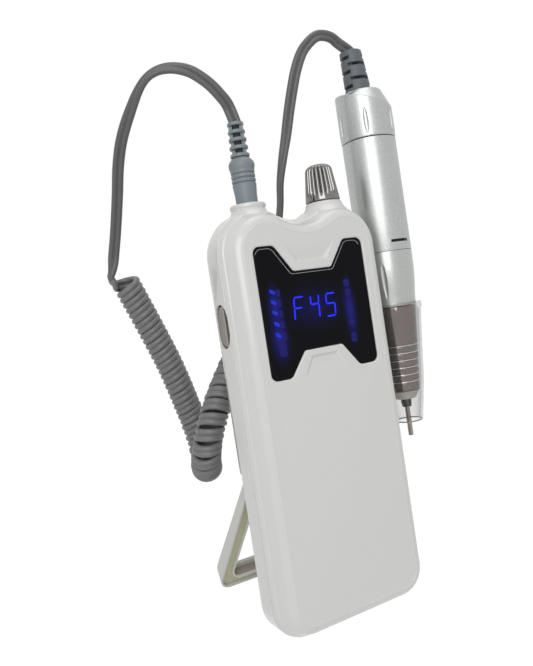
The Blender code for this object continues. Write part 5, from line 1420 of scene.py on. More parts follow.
@dataclass(frozen=True)
class DirectionButton:
    """Recessed mirror button on the left side, with a black ring in the gap round it as painted shade."""

    length: float = 0.0170
    width: float = 0.0098
    gap: float = 0.0005
    recess: float = 0.0007
    inside: float = 0.0025
    flange: float = 0.0006
    stem: float = 0.0015

    def build(self, maker: Maker, spot: Point) -> None:
        """Makes the button at a spot in case coordinates.

        Args:
            maker: Adds the pieces.
            spot: Its place in case coordinates.
        """
        steps = 16
        count = 2 * (steps + 1)
        levels = []
        for inset, depth in ((0.0016, 0.0004), (0.0009, 0.00005), (0.0004, 0.0), (0.00012, 0.0001), (0.0, 0.0003)):
            figure = Outline.capsule(self.length - 2 * inset, self.width - 2 * inset, steps)
            levels.append((figure, self.recess + depth))
        behind = self.inside + 0.0010
        wide = Outline.capsule(self.length + 2 * self.flange, self.width + 2 * self.flange, steps)
        levels += [(levels[-1][0], self.inside), (wide, self.inside), (wide, behind)]
        levels += [(Outline.circle(self.stem, count), behind), (Outline.circle(self.stem, count), behind + 0.0020)]
        rings = [[(x, y, z) for y, z in figure] for figure, x in levels]
        maker.add(Shape.loft(rings).moved(*spot), "mirror_button", Body.BUTTON, MIRROR, ["direction_button"])
        # Black ring in the gap round the button: painted shade of its recess.
        shade = []
        for spare, depth in ((self.gap, 0.0009), (0.0001, 0.0009), (0.0001, 0.0016), (self.gap, 0.0016),
                             (self.gap, 0.0009)):
            figure = Outline.capsule(self.length + 2 * spare, self.width + 2 * spare, steps)
            shade.append([(depth, y, z) for y, z in figure])
        maker.add(Shape.loft(shade, caps=False).moved(*spot), "button_gap_shade", Body.BOX, PAINTED_SHADE_BLACK)


@dataclass(frozen=True)
class Kickstand:
    """U-shaped stand with a recess along its front faces, whose floors are coloured darker as painted shade."""

    leg: float = 0.0063
    front: float = 0.0022
    back: float = 0.0021
    foot_back: float = 0.0048
    flange: float = 0.0026
    top_width: float = 0.0668
    foot_width: float = 0.0818
    reach: float = 0.0667
    bar_top: float = -0.0604
    corner: float = 0.0068
    back_corner: float = 0.0125
    inner_corner: float = 0.0054
    heel: float = 0.0064
    hinge_y: float = 0.0223
    hinge_z: float = 0.0658
    knuckle: float = 0.0034
    pin: float = 0.0018
    recess: float = 0.0013
    border: float = 0.0010
    bar_recess: float = 0.0006

    def rise(self, heel: Point) -> float:
        """Height of the hinge above the table."""
        return (self.hinge_z - heel[2]) * cos(radians(LEAN)) - (self.hinge_y - heel[1]) * sin(radians(LEAN))

    def figure(self, end: float, corner: float, inset: float = 0.0, start: float = 0.0) -> list[Flat]:
        """Outline of the U down to an end, moved in by inset, its legs starting below the hinge.

        Args:
            end: Height at which the foot ends.
            corner: Radius of the outer corners.
            inset: How far it is moved in.
            start: How far below the hinge the legs start.

        Returns:
            Points of the outline.
        """
        low = end + inset
        bar = self.bar_top - inset
        leg = self.leg - 2 * inset
        top = self.top_width / 2 - inset + (self.foot_width - self.top_width) / 2 * (start + inset) / -low
        foot = self.foot_width / 2 - inset
        corners = [
            (top, -start), (top - leg, -start), (foot - leg, bar), (-foot + leg, bar),
            (-top + leg, -start), (-top, -start), (-foot, low), (foot, low),
        ]
        sharp = 0.0001
        inner, outer = self.inner_corner + inset, corner - inset
        return Outline.rounded(corners, [sharp, sharp, inner, inner, sharp, sharp, outer, outer], 8)

    def depth_at(self, z: float) -> float:
        """How far back the frame reaches at a height: more towards its foot."""
        return self.back + (self.foot_back - self.back) * min(1.0, -z / self.reach)

    def slab(self, end: float, inset: float, start: float, depths: Sequence[float]) -> Shape:
        """The U between two depths."""
        outline = self.figure(end, self.corner, inset, start)
        return Shape.loft([[(x, y, z) for x, z in outline] for y in depths])

    def frame_shape(self, near: float, far: float) -> Shape:
        """The whole U, thicker towards its foot, which ends at one height in front and another behind.

        Args:
            near: Height of the foot's end in front.
            far: The same behind.

        Returns:
            The shape.
        """
        front = [(x, -self.front, z) for x, z in self.figure(near, self.corner)]
        back = [(x, self.depth_at(z), z) for x, z in self.figure(far, self.back_corner)]
        return Shape.loft([front, back])

    def build(self, maker: Maker, heel: Point) -> None:
        """Makes the stand, open on the table, and the floors of its recesses, coloured darker as painted shade.

        Args:
            maker: Adds the pieces.
            heel: Middle of the case's heel.
        """
        rise = self.rise(heel)
        angle = LEAN + degrees(acos(rise / self.reach))
        place = (maker.place @ Matrix.Translation((0, self.hinge_y, self.hinge_z))
                 @ Matrix.Rotation(radians(angle), 4, "X"))
        tilt = radians(angle - LEAN)
        near, far = ((-rise - depth * sin(tilt)) / cos(tilt) for depth in (-self.front, self.foot_back))
        top, leg = self.top_width / 2, self.leg
        joins, bores = [], []
        for low in (-top, top - leg):
            joins.append(Shape.rod(self.knuckle, 0, leg, 48).along_x().moved(low, 0, 0))
            bores.append(Shape.rod(self.pin, -OVERCUT, leg + OVERCUT).along_x().moved(low, 0, 0))
        half = self.foot_width / 2 - leg / 2
        behind = self.foot_back - 0.0004
        wall = Shape.block((-half, behind - 0.0012, self.bar_top - 0.001), (half, behind, self.bar_top + self.flange))
        deep = -self.front + self.recess
        sink = self.slab(near, self.border, 0.006, (-self.front - OVERCUT, deep))
        maker.add(
            self.frame_shape(near, far), "stand_frame", Body.STAND, STAND_WHITE, ["kickstand"],
            joins=[Shape.gathered(joins), wall],
            cuts=[sink, self.trough(0.0, OVERCUT), Shape.gathered(bores), self.heel_cut(near, far)],
            bevel=0.0004, angle=40, place=place,
        )
        # Beige floor of the front recess: painted shade.
        floor = self.slab(near, self.border + 0.0001, 0.0062, (deep - 0.0002, deep + 0.0002))
        maker.add(floor, "stand_recess_shade", Body.STAND, STAND_RECESS_SHADE, place=place)
        # Brown floor of the bar's recess: painted shade.
        maker.add(self.trough(0.0001, -self.bar_recess + 0.0002), "bar_recess", Body.STAND, STAND_BAR_SHADE, place=place)

    def heel_cut(self, near: float, far: float) -> Shape:
        """What is taken off the foot's lower back edge to round it.

        Args:
            near: Height of the foot's end in front.
            far: The same behind.

        Returns:
            Shape that is cut out.
        """
        corner = (self.foot_back, far)
        ahead = (-self.front, near)
        above = (self.foot_back, far + self.leg * 4)
        arc = Outline.rounded([corner, above, ahead], [self.heel, 0.0001, 0.0001], 12)[:13]
        outside = self.foot_back + OVERCUT
        figure = arc + [(outside, arc[-1][1]), (outside, far - OVERCUT), (arc[0][0], arc[0][1] - OVERCUT)]
        half = self.foot_width / 2 + OVERCUT
        return Shape.prism(figure, -half, half, Axis.X)

    def trough(self, inset: float, above: float) -> Shape:
        """Recess in the upper face of the foot bar, up to a height above that face.

        Args:
            inset: How far it is moved in.
            above: Height above the face.

        Returns:
            The shape.
        """
        half = self.foot_width / 2 - self.leg - 0.0012 - inset
        low = (-half, -self.front + 0.0009 + inset, self.bar_top - self.bar_recess)
        return Shape.block(low, (half, self.foot_back - 0.0016 - inset, self.bar_top + above))


@dataclass(frozen=True)
class CordPlug:
    """Overmoulded plug with ring grooves, a bulge and a windowed strain relief whose black core is painted shade."""

    body: float = 0.0048
    foot: float = 0.0045
    bulge: float = 0.0054
    body_length: float = 0.0140
    bulge_length: float = 0.0050
    neck: float = 0.0035
    relief: float = 0.0040
    tip: float = 0.0034
    relief_length: float = 0.0145
    core: float = 0.0021
    discs: int = 5

    @property
    def length(self) -> float:
        """Whole length above the collar."""
        return self.body_length + self.bulge_length + self.relief_length

    def build(self, maker: Maker, spot: Point) -> None:
        """Makes the plug standing at a spot in case coordinates.

        Args:
            maker: Adds the pieces.
            spot: Its place in case coordinates.
        """
        grooves: list[Flat] = []
        for i in range(3):
            level = self.body_length - (3.1 - i) * 0.0019
            reach = self.body + 0.0002
            grooves += [(reach, level), (reach - 0.0005, level + 0.0003), (reach - 0.0005, level + 0.0005),
                        (reach, level + 0.0008)]
        swell = Outline.flowing([
            (self.body + 0.0002, self.body_length - 0.0002), (self.bulge, self.body_length + 0.0018),
            (self.bulge - 0.0005, self.body_length + 0.0034), (self.neck, self.body_length + self.bulge_length),
        ], 6)
        end = self.body_length + self.bulge_length + 0.0012
        profile = [(0, 0), (self.foot, 0), (self.foot + 0.0001, 0.004)] + grooves + swell
        profile += [(self.core, self.body_length + self.bulge_length), (self.core, end), (0, end)]
        parts = [Shape.turned(Outline.softened(profile, 0.00015), 72)]
        base = self.body_length + self.bulge_length
        # Black rod inside the relief: painted shade seen through its windows.
        core = Shape.rod(self.core, base - 0.001, self.length, 32)
        pitch = (self.relief_length - 0.0016) / (self.discs - 1)
        for i in range(self.discs):
            reach = self.relief + (self.tip - self.relief) * i / (self.discs - 1)
            low = base + 0.0002 + i * pitch
            disc = [(0, low), (reach, low), (reach, low + 0.0014), (0, low + 0.0014)]
            parts.append(Shape.turned(Outline.softened(disc, 0.0004), 48))
        for side in (-1, 1):
            spans = sorted((side * 0.0014, side * (self.tip - 0.0004)))
            spine = Shape.block((spans[0], -0.0014, base + 0.0004), (spans[1], 0.0014, self.length - 0.0004))
            parts.append(spine.spun(-30))
        maker.add(Shape.gathered(parts).moved(*spot), "moulded_plug", Body.PLUG, PLUG_GREY, ["plug_body"], angle=40)
        maker.add(core.moved(*spot), "relief_shade_core", Body.PLUG, PAINTED_SHADE_BLACK)


@dataclass(frozen=True)
class Handpiece:
    """Boot, rear cap, body, grip sleeve, nose, collet, bit and clear guard, turned about one axis."""

    x: float = 0.05405
    y: float = 0.0196
    joint: float = 0.1531
    radius: float = 0.0125
    length: float = 0.0527
    bore: float = 0.0109
    cap: float = 0.0128
    cap_length: float = 0.0232
    cap_shoulder: float = 0.0076
    cap_slant: float = 0.33
    cap_top: float = 0.0084
    groove_level: float = 0.0073
    boot_length: float = 0.0194
    boot_base: float = 0.0060
    boot_tip: float = 0.0051
    boot_shift: float = 0.0013
    boot_lean: float = 0.0012
    sleeve_length: float = 0.0255
    sleeve_end: float = 0.0109
    sleeve_bore: float = 0.0093
    nose_length: float = 0.0396
    nose_tip: float = 0.0073
    nose_rings: int = 6
    ring_start: float = 0.0042
    ring_pitch: float = 0.0034
    nose_bore: float = 0.0066
    lip: float = 0.0042
    ring_length: float = 0.0039
    ring_tip: float = 0.0048
    slot_angle: float = 270.0
    slot_half: float = 22.0
    slot_above: float = 0.0045
    slot_height: float = 0.0013
    guard_rim: float = 0.01354
    guard_rim_height: float = 0.0024
    guard_top: float = 0.0130
    guard_middle: float = 0.0095
    guard_end: float = 0.0067
    guard_wall: float = 0.0011
    collet: float = 0.0025
    collet_bore: float = 0.00145
    bit: float = 0.001175

    @property
    def top(self) -> float:
        """Top of the body."""
        return self.joint + self.length

    @property
    def cap_end(self) -> float:
        """Top of the rear cap."""
        return self.top + self.cap_length

    @property
    def boot_top(self) -> Vector:
        """Middle of the boot's upper end."""
        aside = Vector(SIDEWAYS) * (self.boot_shift + self.boot_lean)
        return Vector((self.x, self.y, self.cap_end + self.boot_length)) - aside

    @property
    def sleeve_low(self) -> float:
        """Lower end of the grip sleeve."""
        return self.joint - self.sleeve_length

    @property
    def nose_low(self) -> float:
        """Tip of the nose."""
        return self.sleeve_low - GAP - self.nose_length

    @property
    def collet_low(self) -> float:
        """Tip of the collet."""
        return self.nose_low - self.ring_length - GAP - 0.0040

    def add(self, maker: Maker, shape: Shape, name: str, body: Body, finish: Finish, node: str, **more: Any) -> None:
        """Adds a piece that stands on the handpiece's axis."""
        place = maker.place @ Matrix.Translation((self.x, self.y, 0))
        maker.add(shape, name, body, finish, [node] if node else (), place=place, **more)

    def build(self, maker: Maker) -> None:
        """Makes every piece of the handpiece that shows.

        Args:
            maker: Adds the pieces.
        """
        self.build_boot(maker)
        self.build_cap(maker)
        self.build_body(maker)
        self.build_sleeve(maker)
        self.build_nose(maker)
        self.build_tip(maker)
        self.build_guard(maker)

    def build_boot(self, maker: Maker) -> None:
        """Dark boot with rows of slots, each row turned a quarter from the last, leaning towards its lead; a black rod
        inside is painted shade at the slots' bottoms.

        Args:
            maker: Adds the pieces.
        """
        base = self.cap_end + GAP
        top = self.cap_end + self.boot_length
        profile = [(0.0015, base - 0.0045), (0.0029, base - 0.0045), (0.0029, base), (self.boot_base, base),
                   (self.boot_base, base + 0.0022), (self.boot_tip, top), (0.0015, top)]
        slots = []
        rows = 5
        pitch = self.boot_length * 0.86 / rows
        for i in range(rows):
            level = base + 0.0006 + (i + 0.5) * pitch
            for side in (-1, 1):
                spans = sorted((side * 0.0028, side * 0.008))
                slot = Shape.block((spans[0], -0.0043, level - 0.0008), (spans[1], 0.0043, level + 0.0008))
                slots.append(slot.spun(90 * ((i + 1) % 2) + 76))
        shape = Shape.turned(Outline.softened(profile, 0.0004), 64)
        cuts = Shape.gathered(slots)
        # Black rod inside the boot: painted shade seen through the slots.
        core = Shape.rod(0.0031, base + 0.0010, top - 0.0010)
        for made in (shape, cuts, core):
            self.lean(made, base, top)
        self.add(maker, shape, "slotted_boot", Body.HANDPIECE, BOOT_GREY, "cord_boot", cuts=[cuts], bevel=0.00018,
                 angle=40)
        self.add(maker, core, "boot_shade_core", Body.HANDPIECE, PAINTED_SHADE_BLACK, "")

    def lean(self, shape: Shape, base: float, top: float) -> None:
        """Moves the boot to the side its lead comes from, more so towards its top.

        Args:
            shape: Shape that is changed.
            base: Height where the lean starts.
            top: Height where it is full.
        """
        for vertex in shape.mesh.verts:
            share = min(max((vertex.co.z - base) / (top - base), 0.0), 1.0)
            vertex.co -= Vector(SIDEWAYS) * (self.boot_shift + self.boot_lean * share)

    def grooves(self, count: int, level: float, reach: float, half: Point, start: float,
                tilt: float = 0.0) -> list[Shape]:
        """Oval finger grooves round the axis, each tilted outwards at its top."""
        lenses = [Shape.lens(half).spun(tilt, "Y").moved(reach, 0, level) for _ in range(count)]
        return [lens.spun(360 * i / count + start) for i, lens in enumerate(lenses)]

    def build_cap(self, maker: Maker) -> None:
        """Silver rear cap with oval grooves under a conical shoulder.

        Args:
            maker: Adds the pieces.
        """
        low = self.top + GAP / 2
        shoulder = self.cap_end - self.cap_shoulder
        profile = [
            (self.radius - 0.0002, low), (self.radius + 0.0001, low + 0.0003), (self.cap, low + 0.0040),
            (self.cap - 0.0001, shoulder), (self.cap_top + 0.0006, self.cap_end - 0.0007), (self.cap_top, self.cap_end),
            (0.0032, self.cap_end), (0.0032, self.cap_end - 0.0030), (self.cap_top - 0.0016, self.cap_end - 0.0030),
            (self.bore, shoulder), (self.bore, low),
        ]
        middle = self.top + self.groove_level
        cuts = self.grooves(6, middle, self.cap + 0.0001, (0.0007, 0.0011, 0.0062), 232.0)
        shape = Shape.turned(Outline.softened(profile, 0.0003), 128)
        self.slant(shape, shoulder)
        self.add(maker, shape, "silver_cap", Body.HANDPIECE, SILVER, "rear_cap", cuts=[Shape.gathered(cuts)])

    def slant(self, shape: Shape, shoulder: float) -> None:
        """Tilts the cap's shoulder edge down to the right, as in the photo.

        Args:
            shape: Shape that is changed.
            shoulder: Height of the shoulder.
        """
        for vertex in shape.mesh.verts:
            if abs(vertex.co.z - shoulder) < 0.0010:
                vertex.co.z -= self.cap_slant * vertex.co.dot(Vector(SIDEWAYS))

    def build_body(self, maker: Maker) -> None:
        """Silver body tube with the curved slot near its joint.

        Args:
            maker: Adds the pieces.
        """
        low = self.joint + GAP / 2
        high = self.top - GAP / 2
        profile = [(self.radius, low), (self.radius, high), (self.bore, high), (self.bore, low)]
        start, end = self.slot_angle - self.slot_half, self.slot_angle + self.slot_half
        wedge = Outline.arc(0, 0, self.radius + OVERCUT, start, end, 16)
        wedge += Outline.arc(0, 0, self.bore - 0.001, end, start, 16)
        level = self.joint + self.slot_above
        slot = Shape.prism(wedge, level - self.slot_height / 2, level + self.slot_height / 2)
        self.add(maker, Shape.turned(Outline.softened(profile, 0.00022), 128), "silver_body", Body.HANDPIECE, SILVER,
                 "handpiece_body", cuts=[slot])

    def build_sleeve(self, maker: Maker) -> None:
        """Grip sleeve that narrows to the nose, with its spigot, grooves and a black band in the slot as painted shade.

        Args:
            maker: Adds the pieces.
        """
        low = self.sleeve_low
        high = self.joint - GAP / 2
        spigot = self.bore - 0.00035
        top = self.joint + 0.0090
        side = Outline.flowing([
            (self.sleeve_end, low), (0.0113, low + 0.0050), (0.0119, low + 0.0105), (0.01235, low + 0.0165),
            (self.radius, high - 0.0006), (self.radius, high),
        ], 6)
        profile = side + [(spigot, high), (spigot, top), (self.sleeve_bore, top), (self.sleeve_bore, low)]
        cuts = self.grooves(3, low + 0.0130, 0.0121, (0.0004, 0.0012, 0.0092), 222.0, 5.0)
        self.add(maker, Shape.turned(Outline.softened(profile, 0.00015), 128), "silver_sleeve", Body.SLEEVE,
                 SLEEVE_SILVER, "grip_sleeve", cuts=[Shape.gathered(cuts)])
        level = self.joint + self.slot_above
        # Black band on the spigot behind the slot: painted shade.
        ring = [(spigot + 0.0001, level - 0.0019), (spigot + 0.0001, level + 0.0019), (spigot - 0.0002, level + 0.0019),
                (spigot - 0.0002, level - 0.0019)]
        self.add(maker, Shape.turned(ring, 96), "slot_shade", Body.SLEEVE, PAINTED_SHADE_BLACK, "")

    def build_nose(self, maker: Maker) -> None:
        """Chrome nose with its ring grooves, bright chrome beads in them as painted highlights, and the pale ring at
        its tip.

        Args:
            maker: Adds the pieces.
        """
        top_radius = self.sleeve_end - GAP / 2
        slope = (top_radius - self.nose_tip) / self.nose_length
        low = self.nose_low
        outer: list[Flat] = [(self.nose_tip, low)]
        for i in range(self.nose_rings):
            base = self.ring_start + i * self.ring_pitch
            for shift, sink in ((-0.0005, 0.0), (-0.0002, 0.0004), (0.0002, 0.0004), (0.0005, 0.0)):
                outer.append((self.nose_tip + slope * (base + shift) - sink, low + base + shift))
        end = self.sleeve_low - GAP
        spigot = self.sleeve_bore - GAP
        profile = outer + [(top_radius, end), (spigot, end), (spigot, end + 0.0170), (self.nose_bore, end + 0.0170),
                           (self.nose_bore, low + 0.0021), (self.lip, low + 0.0021), (self.lip, low)]
        self.add(maker, Shape.turned(Outline.softened(profile, 0.0002), 96), "chrome_nose", Body.SLEEVE, CHROME,
                 "nose_cone")
        # Bright beads in the ring grooves: painted highlights.
        highlight_beads = []
        for i in range(self.nose_rings):
            base = self.ring_start + i * self.ring_pitch
            reach = self.nose_tip + slope * base - 0.0002
            figure = [(reach + r, low + base + z) for r, z in Outline.circle(0.00028, 8)]
            highlight_beads.append(Shape.turned(figure, 96))
        self.add(maker, Shape.gathered(highlight_beads), "ring_highlight_beads", Body.SLEEVE, RING_HIGHLIGHT_CHROME, "")
        high = low - GAP
        ring = [(self.ring_tip, high - self.ring_length), (self.nose_tip - GAP, high), (self.lip, high),
                (self.lip, high - self.ring_length)]
        self.add(maker, Shape.turned(Outline.softened(ring, 0.0003), 72), "pale_dust_ring", Body.SLEEVE, PALE_RING,
                 "dust_ring")

    def build_tip(self, maker: Maker) -> None:
        """Split collet and the bit's shank.

        Args:
            maker: Adds the pieces.
        """
        end = self.collet_low
        profile = [(self.collet_bore, end), (self.collet * 0.86, end), (self.collet, end + 0.0020),
                   (self.collet, end + 0.0330), (self.collet_bore, end + 0.0330)]
        slits = []
        for i in range(3):
            slit = Shape.block((0, -0.0002, end - OVERCUT), (self.collet + OVERCUT, 0.0002, end + 0.0100))
            slits.append(slit.spun(120 * (i + 0.25)))
        self.add(maker, Shape.turned(Outline.softened(profile, 0.0002), 48), "split_collet", Body.COLLET, COLLET_STEEL,
                 "collet", cuts=slits)
        tip = end - 0.0140
        shank = [(0, tip), (self.bit - 0.0003, tip), (self.bit, tip + 0.0003), (self.bit, tip + 0.0400),
                 (0, tip + 0.0400)]
        self.add(maker, Shape.turned(Outline.softened(shank, 0.0001), 40), "shank", Body.BIT, BIT_STEEL, "bit_shank")

    def build_guard(self, maker: Maker) -> None:
        """Clear push-on guard: rim, lip and walls that close in to the bit, with an opaque grey ring at the lip as
        painted edge shade.

        Args:
            maker: Adds the pieces.
        """
        high = self.sleeve_low + self.guard_rim_height / 2
        under = high - self.guard_rim_height
        middle = self.nose_low + 0.0029
        low = self.nose_low - 0.0146
        step = self.guard_wall
        grip = self.sleeve_end + 0.00045
        outer = Outline.flowing([(self.guard_top, under - step), (0.0112, (under + middle) / 2 - 0.001),
                                 (self.guard_middle, middle), (self.guard_end, low)], 8)
        inner = [(max(r - step, grip if z > under - step - 1e-6 else 0), z) for r, z in reversed(outer)]
        profile = [(self.guard_rim, high), (self.guard_rim, under)] + outer + inner + [(grip, under), (grip, high)]
        self.add(maker, Shape.turned(Outline.softened(profile, 0.0003), 96), "clear_cap", Body.GUARD, CLEAR,
                 "clear_guard")
        reach = self.guard_end - step / 2
        lip = [(reach + r, low - 0.0001 + z) for r, z in Outline.circle(0.0003, 10)]
        # Opaque grey ring on the clear lip: painted edge shade.
        self.add(maker, Shape.turned(lip, 96), "guard_lip", Body.GUARD, GUARD_LIP_SHADE_GREY, "")


@dataclass(frozen=True)
class Holder:
    """Half clip on the box's right side that carries the handpiece."""

    bore: float = 0.01285
    wall: float = 0.0022
    top_above: float = 0.0097
    height: float = 0.0240
    left_arm: float = 0.0040
    right_arm: float = 0.0010
    pad_height: float = 0.0160

    def build(self, maker: Maker, hand: Handpiece, side: float) -> None:
        """Makes the clip round the handpiece's body.

        Args:
            maker: Adds the pieces.
            hand: Handpiece that it carries.
            side: Half width of the box.
        """
        top = hand.joint + self.top_above
        outer = self.bore + self.wall
        figure = [(-outer, -self.left_arm)] + Outline.arc(0, 0, outer, 180, 0, 40)
        figure += [(outer, -self.right_arm), (self.bore, -self.right_arm)]
        figure += Outline.arc(0, 0, self.bore, 0, 180, 40) + [(-self.bore, -self.left_arm)]
        points = [(x + hand.x, y + hand.y) for x, y in figure]
        low = top - self.height + GAP
        front = hand.y - self.left_arm - 0.0040
        pad = Shape.block((side + GAP, front, low), (hand.x - self.bore - GAP, hand.y - self.left_arm + self.wall,
                                                      low + self.pad_height))
        maker.add(Shape.prism(points, top - self.height, top), "holder_clip", Body.BOX, WHITE, ["handpiece_holder"],
                  joins=[pad], bevel=0.0003, angle=40)


@dataclass(frozen=True)
class TwinCord:
    """Flat twin lead: straight from the plug, curled in the middle, straight to the handpiece."""

    half_width: float = 0.00140
    strand: float = 0.00144
    coil: float = 0.0102
    pitch: float = 0.0057
    bend_pitch: float = 0.0070
    bend_swell: float = 0.13
    rise_pitch: float = 0.0060
    coil_end: float = 0.0010
    lead_scale: float = 0.90
    free_from: int = 12
    straight: float = 0.0015
    per_turn: int = 28
    lead_spacing: float = 0.0014
    blend: float = 0.0120
    front: Point = (0.474, 0.846, -0.245)

    @property
    def width(self) -> float:
        """Whole width of the flat lead."""
        return 2 * (self.half_width + self.strand)

    def section(self, scale: float = 1.0) -> list[Flat]:
        """Two round strands joined by a web.

        Args:
            scale: Size against the full one.

        Returns:
            Points of the section.
        """
        half, strand = self.half_width * scale, self.strand * scale
        right = Outline.arc(half, 0, strand, -160, 160, 12)
        return right + Outline.arc(-half, 0, strand, 20, 340, 12)

    def plug_route(self) -> list[Point]:
        """Listed route of the lead between plug and coil.

        Returns:
            Points of the route.
        """
        return [
            (-0.0195, 0.0470, 0.2128), (-0.0210, 0.0473, 0.2158), (-0.0232, 0.0476, 0.2184),
            (-0.0261, 0.0483, 0.2216), (-0.0294, 0.0494, 0.2245), (-0.0338, 0.0510, 0.2274),
            (-0.0381, 0.0527, 0.2288), (-0.0424, 0.0546, 0.2291), (-0.0467, 0.0568, 0.2281),
            (-0.0503, 0.0591, 0.2255), (-0.0530, 0.0621, 0.2209), (-0.0553, 0.0664, 0.2139),
            (-0.0571, 0.0704, 0.2071), (-0.0583, 0.0743, 0.1999), (-0.0587, 0.0787, 0.1910),
            (-0.0586, 0.0827, 0.1812), (-0.0589, 0.0859, 0.1715), (-0.0596, 0.0881, 0.1621),
            (-0.0607, 0.0892, 0.1539), (-0.0618, 0.0895, 0.1471),
        ]

    def coil_route(self) -> list[Point]:
        """Listed line down the middle of the curls: left arm, bend, right arm.

        Returns:
            Points of the line.
        """
        return [
            (-0.0580, 0.0900, 0.1436), (-0.0546, 0.0887, 0.1355), (-0.0512, 0.0874, 0.1273),
            (-0.0479, 0.0860, 0.1191), (-0.0447, 0.0846, 0.1109), (-0.0415, 0.0833, 0.1026),
            (-0.0387, 0.0819, 0.0943), (-0.0361, 0.0807, 0.0858), (-0.0336, 0.0797, 0.0773),
            (-0.0311, 0.0786, 0.0688), (-0.0290, 0.0768, 0.0603), (-0.0289, 0.0720, 0.0530),
            (-0.0316, 0.0639, 0.0512), (-0.0351, 0.0563, 0.0542), (-0.0380, 0.0499, 0.0596),
            (-0.0395, 0.0451, 0.0670), (-0.0386, 0.0434, 0.0756), (-0.0349, 0.0452, 0.0834),
            (-0.0299, 0.0488, 0.0899), (-0.0244, 0.0527, 0.0957), (-0.0187, 0.0564, 0.1016),
            (-0.0131, 0.0600, 0.1075),
        ]

    def tool_route(self) -> list[Point]:
        """Listed route of the lead from the coil, up behind the box and over to the boot.

        Returns:
            Points of the route.
        """
        return [
            (-0.0101, 0.0602, 0.1129), (-0.0060, 0.0603, 0.1210), (-0.0018, 0.0603, 0.1296),
            (0.0024, 0.0604, 0.1396), (0.0061, 0.0605, 0.1501), (0.0095, 0.0605, 0.1610),
            (0.0113, 0.0606, 0.1720), (0.0117, 0.0607, 0.1824), (0.0133, 0.0607, 0.1927),
            (0.0155, 0.0608, 0.2032), (0.0174, 0.0609, 0.2137), (0.0194, 0.0609, 0.2232),
            (0.0217, 0.0610, 0.2318), (0.0249, 0.0611, 0.2391), (0.0288, 0.0611, 0.2436),
            (0.0332, 0.0613, 0.2466), (0.0376, 0.0615, 0.2472), (0.0420, 0.0619, 0.2465),
            (0.0457, 0.0622, 0.2446),
        ]

    def pitches(self, line: np.ndarray) -> np.ndarray:
        """Pitch of the curls: close in the left arm, wide in the bend, between in the right arm.

        Args:
            line: Middle line of the curls.

        Returns:
            Pitch at each point.
        """
        rising = np.gradient(line[:, 2]) > 0
        arm = np.where(rising, self.rise_pitch, self.pitch)
        return arm + (self.bend_pitch - arm) * self.bend(line)

    def bend(self, line: np.ndarray) -> np.ndarray:
        """How much each point belongs to the bend, from 0 to 1."""
        height = line[:, 2] - line[:, 2].min()
        return np.clip(1.25 - height / (1.6 * self.coil), 0, 1)

    def curls(self) -> tuple[np.ndarray, np.ndarray]:
        """Centre line of the curled part and the directions of its width.

        Returns:
            Points of the centre line, and a width direction for each.
        """
        line = Route.spaced(Route.smooth(self.coil_route()), 0.0001)
        way = Route.travelled(line)
        along = Route.ways(line)
        sides = Route.carried(along, np.array([-1.0, 0.0, 0.0]))
        ups = np.cross(along, sides)
        ease = np.clip((np.minimum(way, way[-1] - way) - self.coil_end) / self.pitch, 0, 1)
        rate = 2 * pi / self.pitches(line) * ease**2 * (3 - 2 * ease)
        phase = np.concatenate([[0.0], np.cumsum((rate[1:] + rate[:-1]) / 2 * np.diff(way))])
        turns = phase[-1] / (2 * pi)
        phase *= round(turns) / turns
        out = np.cos(phase)[:, None] * sides + np.sin(phase)[:, None] * ups
        reach = self.coil / 2 * (1 + self.bend_swell * self.bend(line))
        path = line + reach[:, None] * out
        spaced = Route.spaced(path, pi * self.coil / self.per_turn)
        marks = Route.travelled(spaced)
        full = Route.travelled(path)
        outward = np.stack([np.interp(marks, full, out[:, k]) for k in range(3)], axis=1)
        wide = np.cross(Route.ways(spaced), outward)
        return spaced, wide / np.linalg.norm(wide, axis=1)[:, None]

    def lead(self, start: np.ndarray, start_way: np.ndarray, route: list[Point], end: np.ndarray,
             end_way: np.ndarray) -> np.ndarray:
        """Line of a lead that sets out along the ways given at both ends and is smooth between."""
        dense = Route.smooth([tuple(start + start_way), *route, tuple(end + end_way)])
        return Route.spaced(np.vstack([start, dense, end]), self.lead_spacing)

    def widths(self, path: np.ndarray, last: np.ndarray, twists: Sequence[Point]) -> np.ndarray:
        """Width directions of a lead that lies flat to the front and ends at last.

        Args:
            path: Its line, the coil's end last.
            last: Width direction of the coil's end.
            twists: Place along the line, reach along it and angle of each twist.

        Returns:
            A direction for each point.
        """
        along = Route.ways(path)
        sides = np.cross(np.array(self.front), along)
        sides /= np.linalg.norm(sides, axis=1)[:, None]
        ups = np.cross(along, sides)
        way = Route.travelled(path)
        angles = np.zeros(len(path))
        for place, reach, angle in twists:
            angles += radians(angle) * np.exp(-(((way - place) / reach) ** 2))
        ending = atan2(float(last @ ups[-1]), float(last @ sides[-1]))
        ending -= pi * round(ending / pi)
        near = np.clip(1 - (way[-1] - way) / self.blend, 0, 1)
        angles += (ending - angles[-1]) * near**2 * (3 - 2 * near)
        return np.cos(angles)[:, None] * sides + np.sin(angles)[:, None] * ups

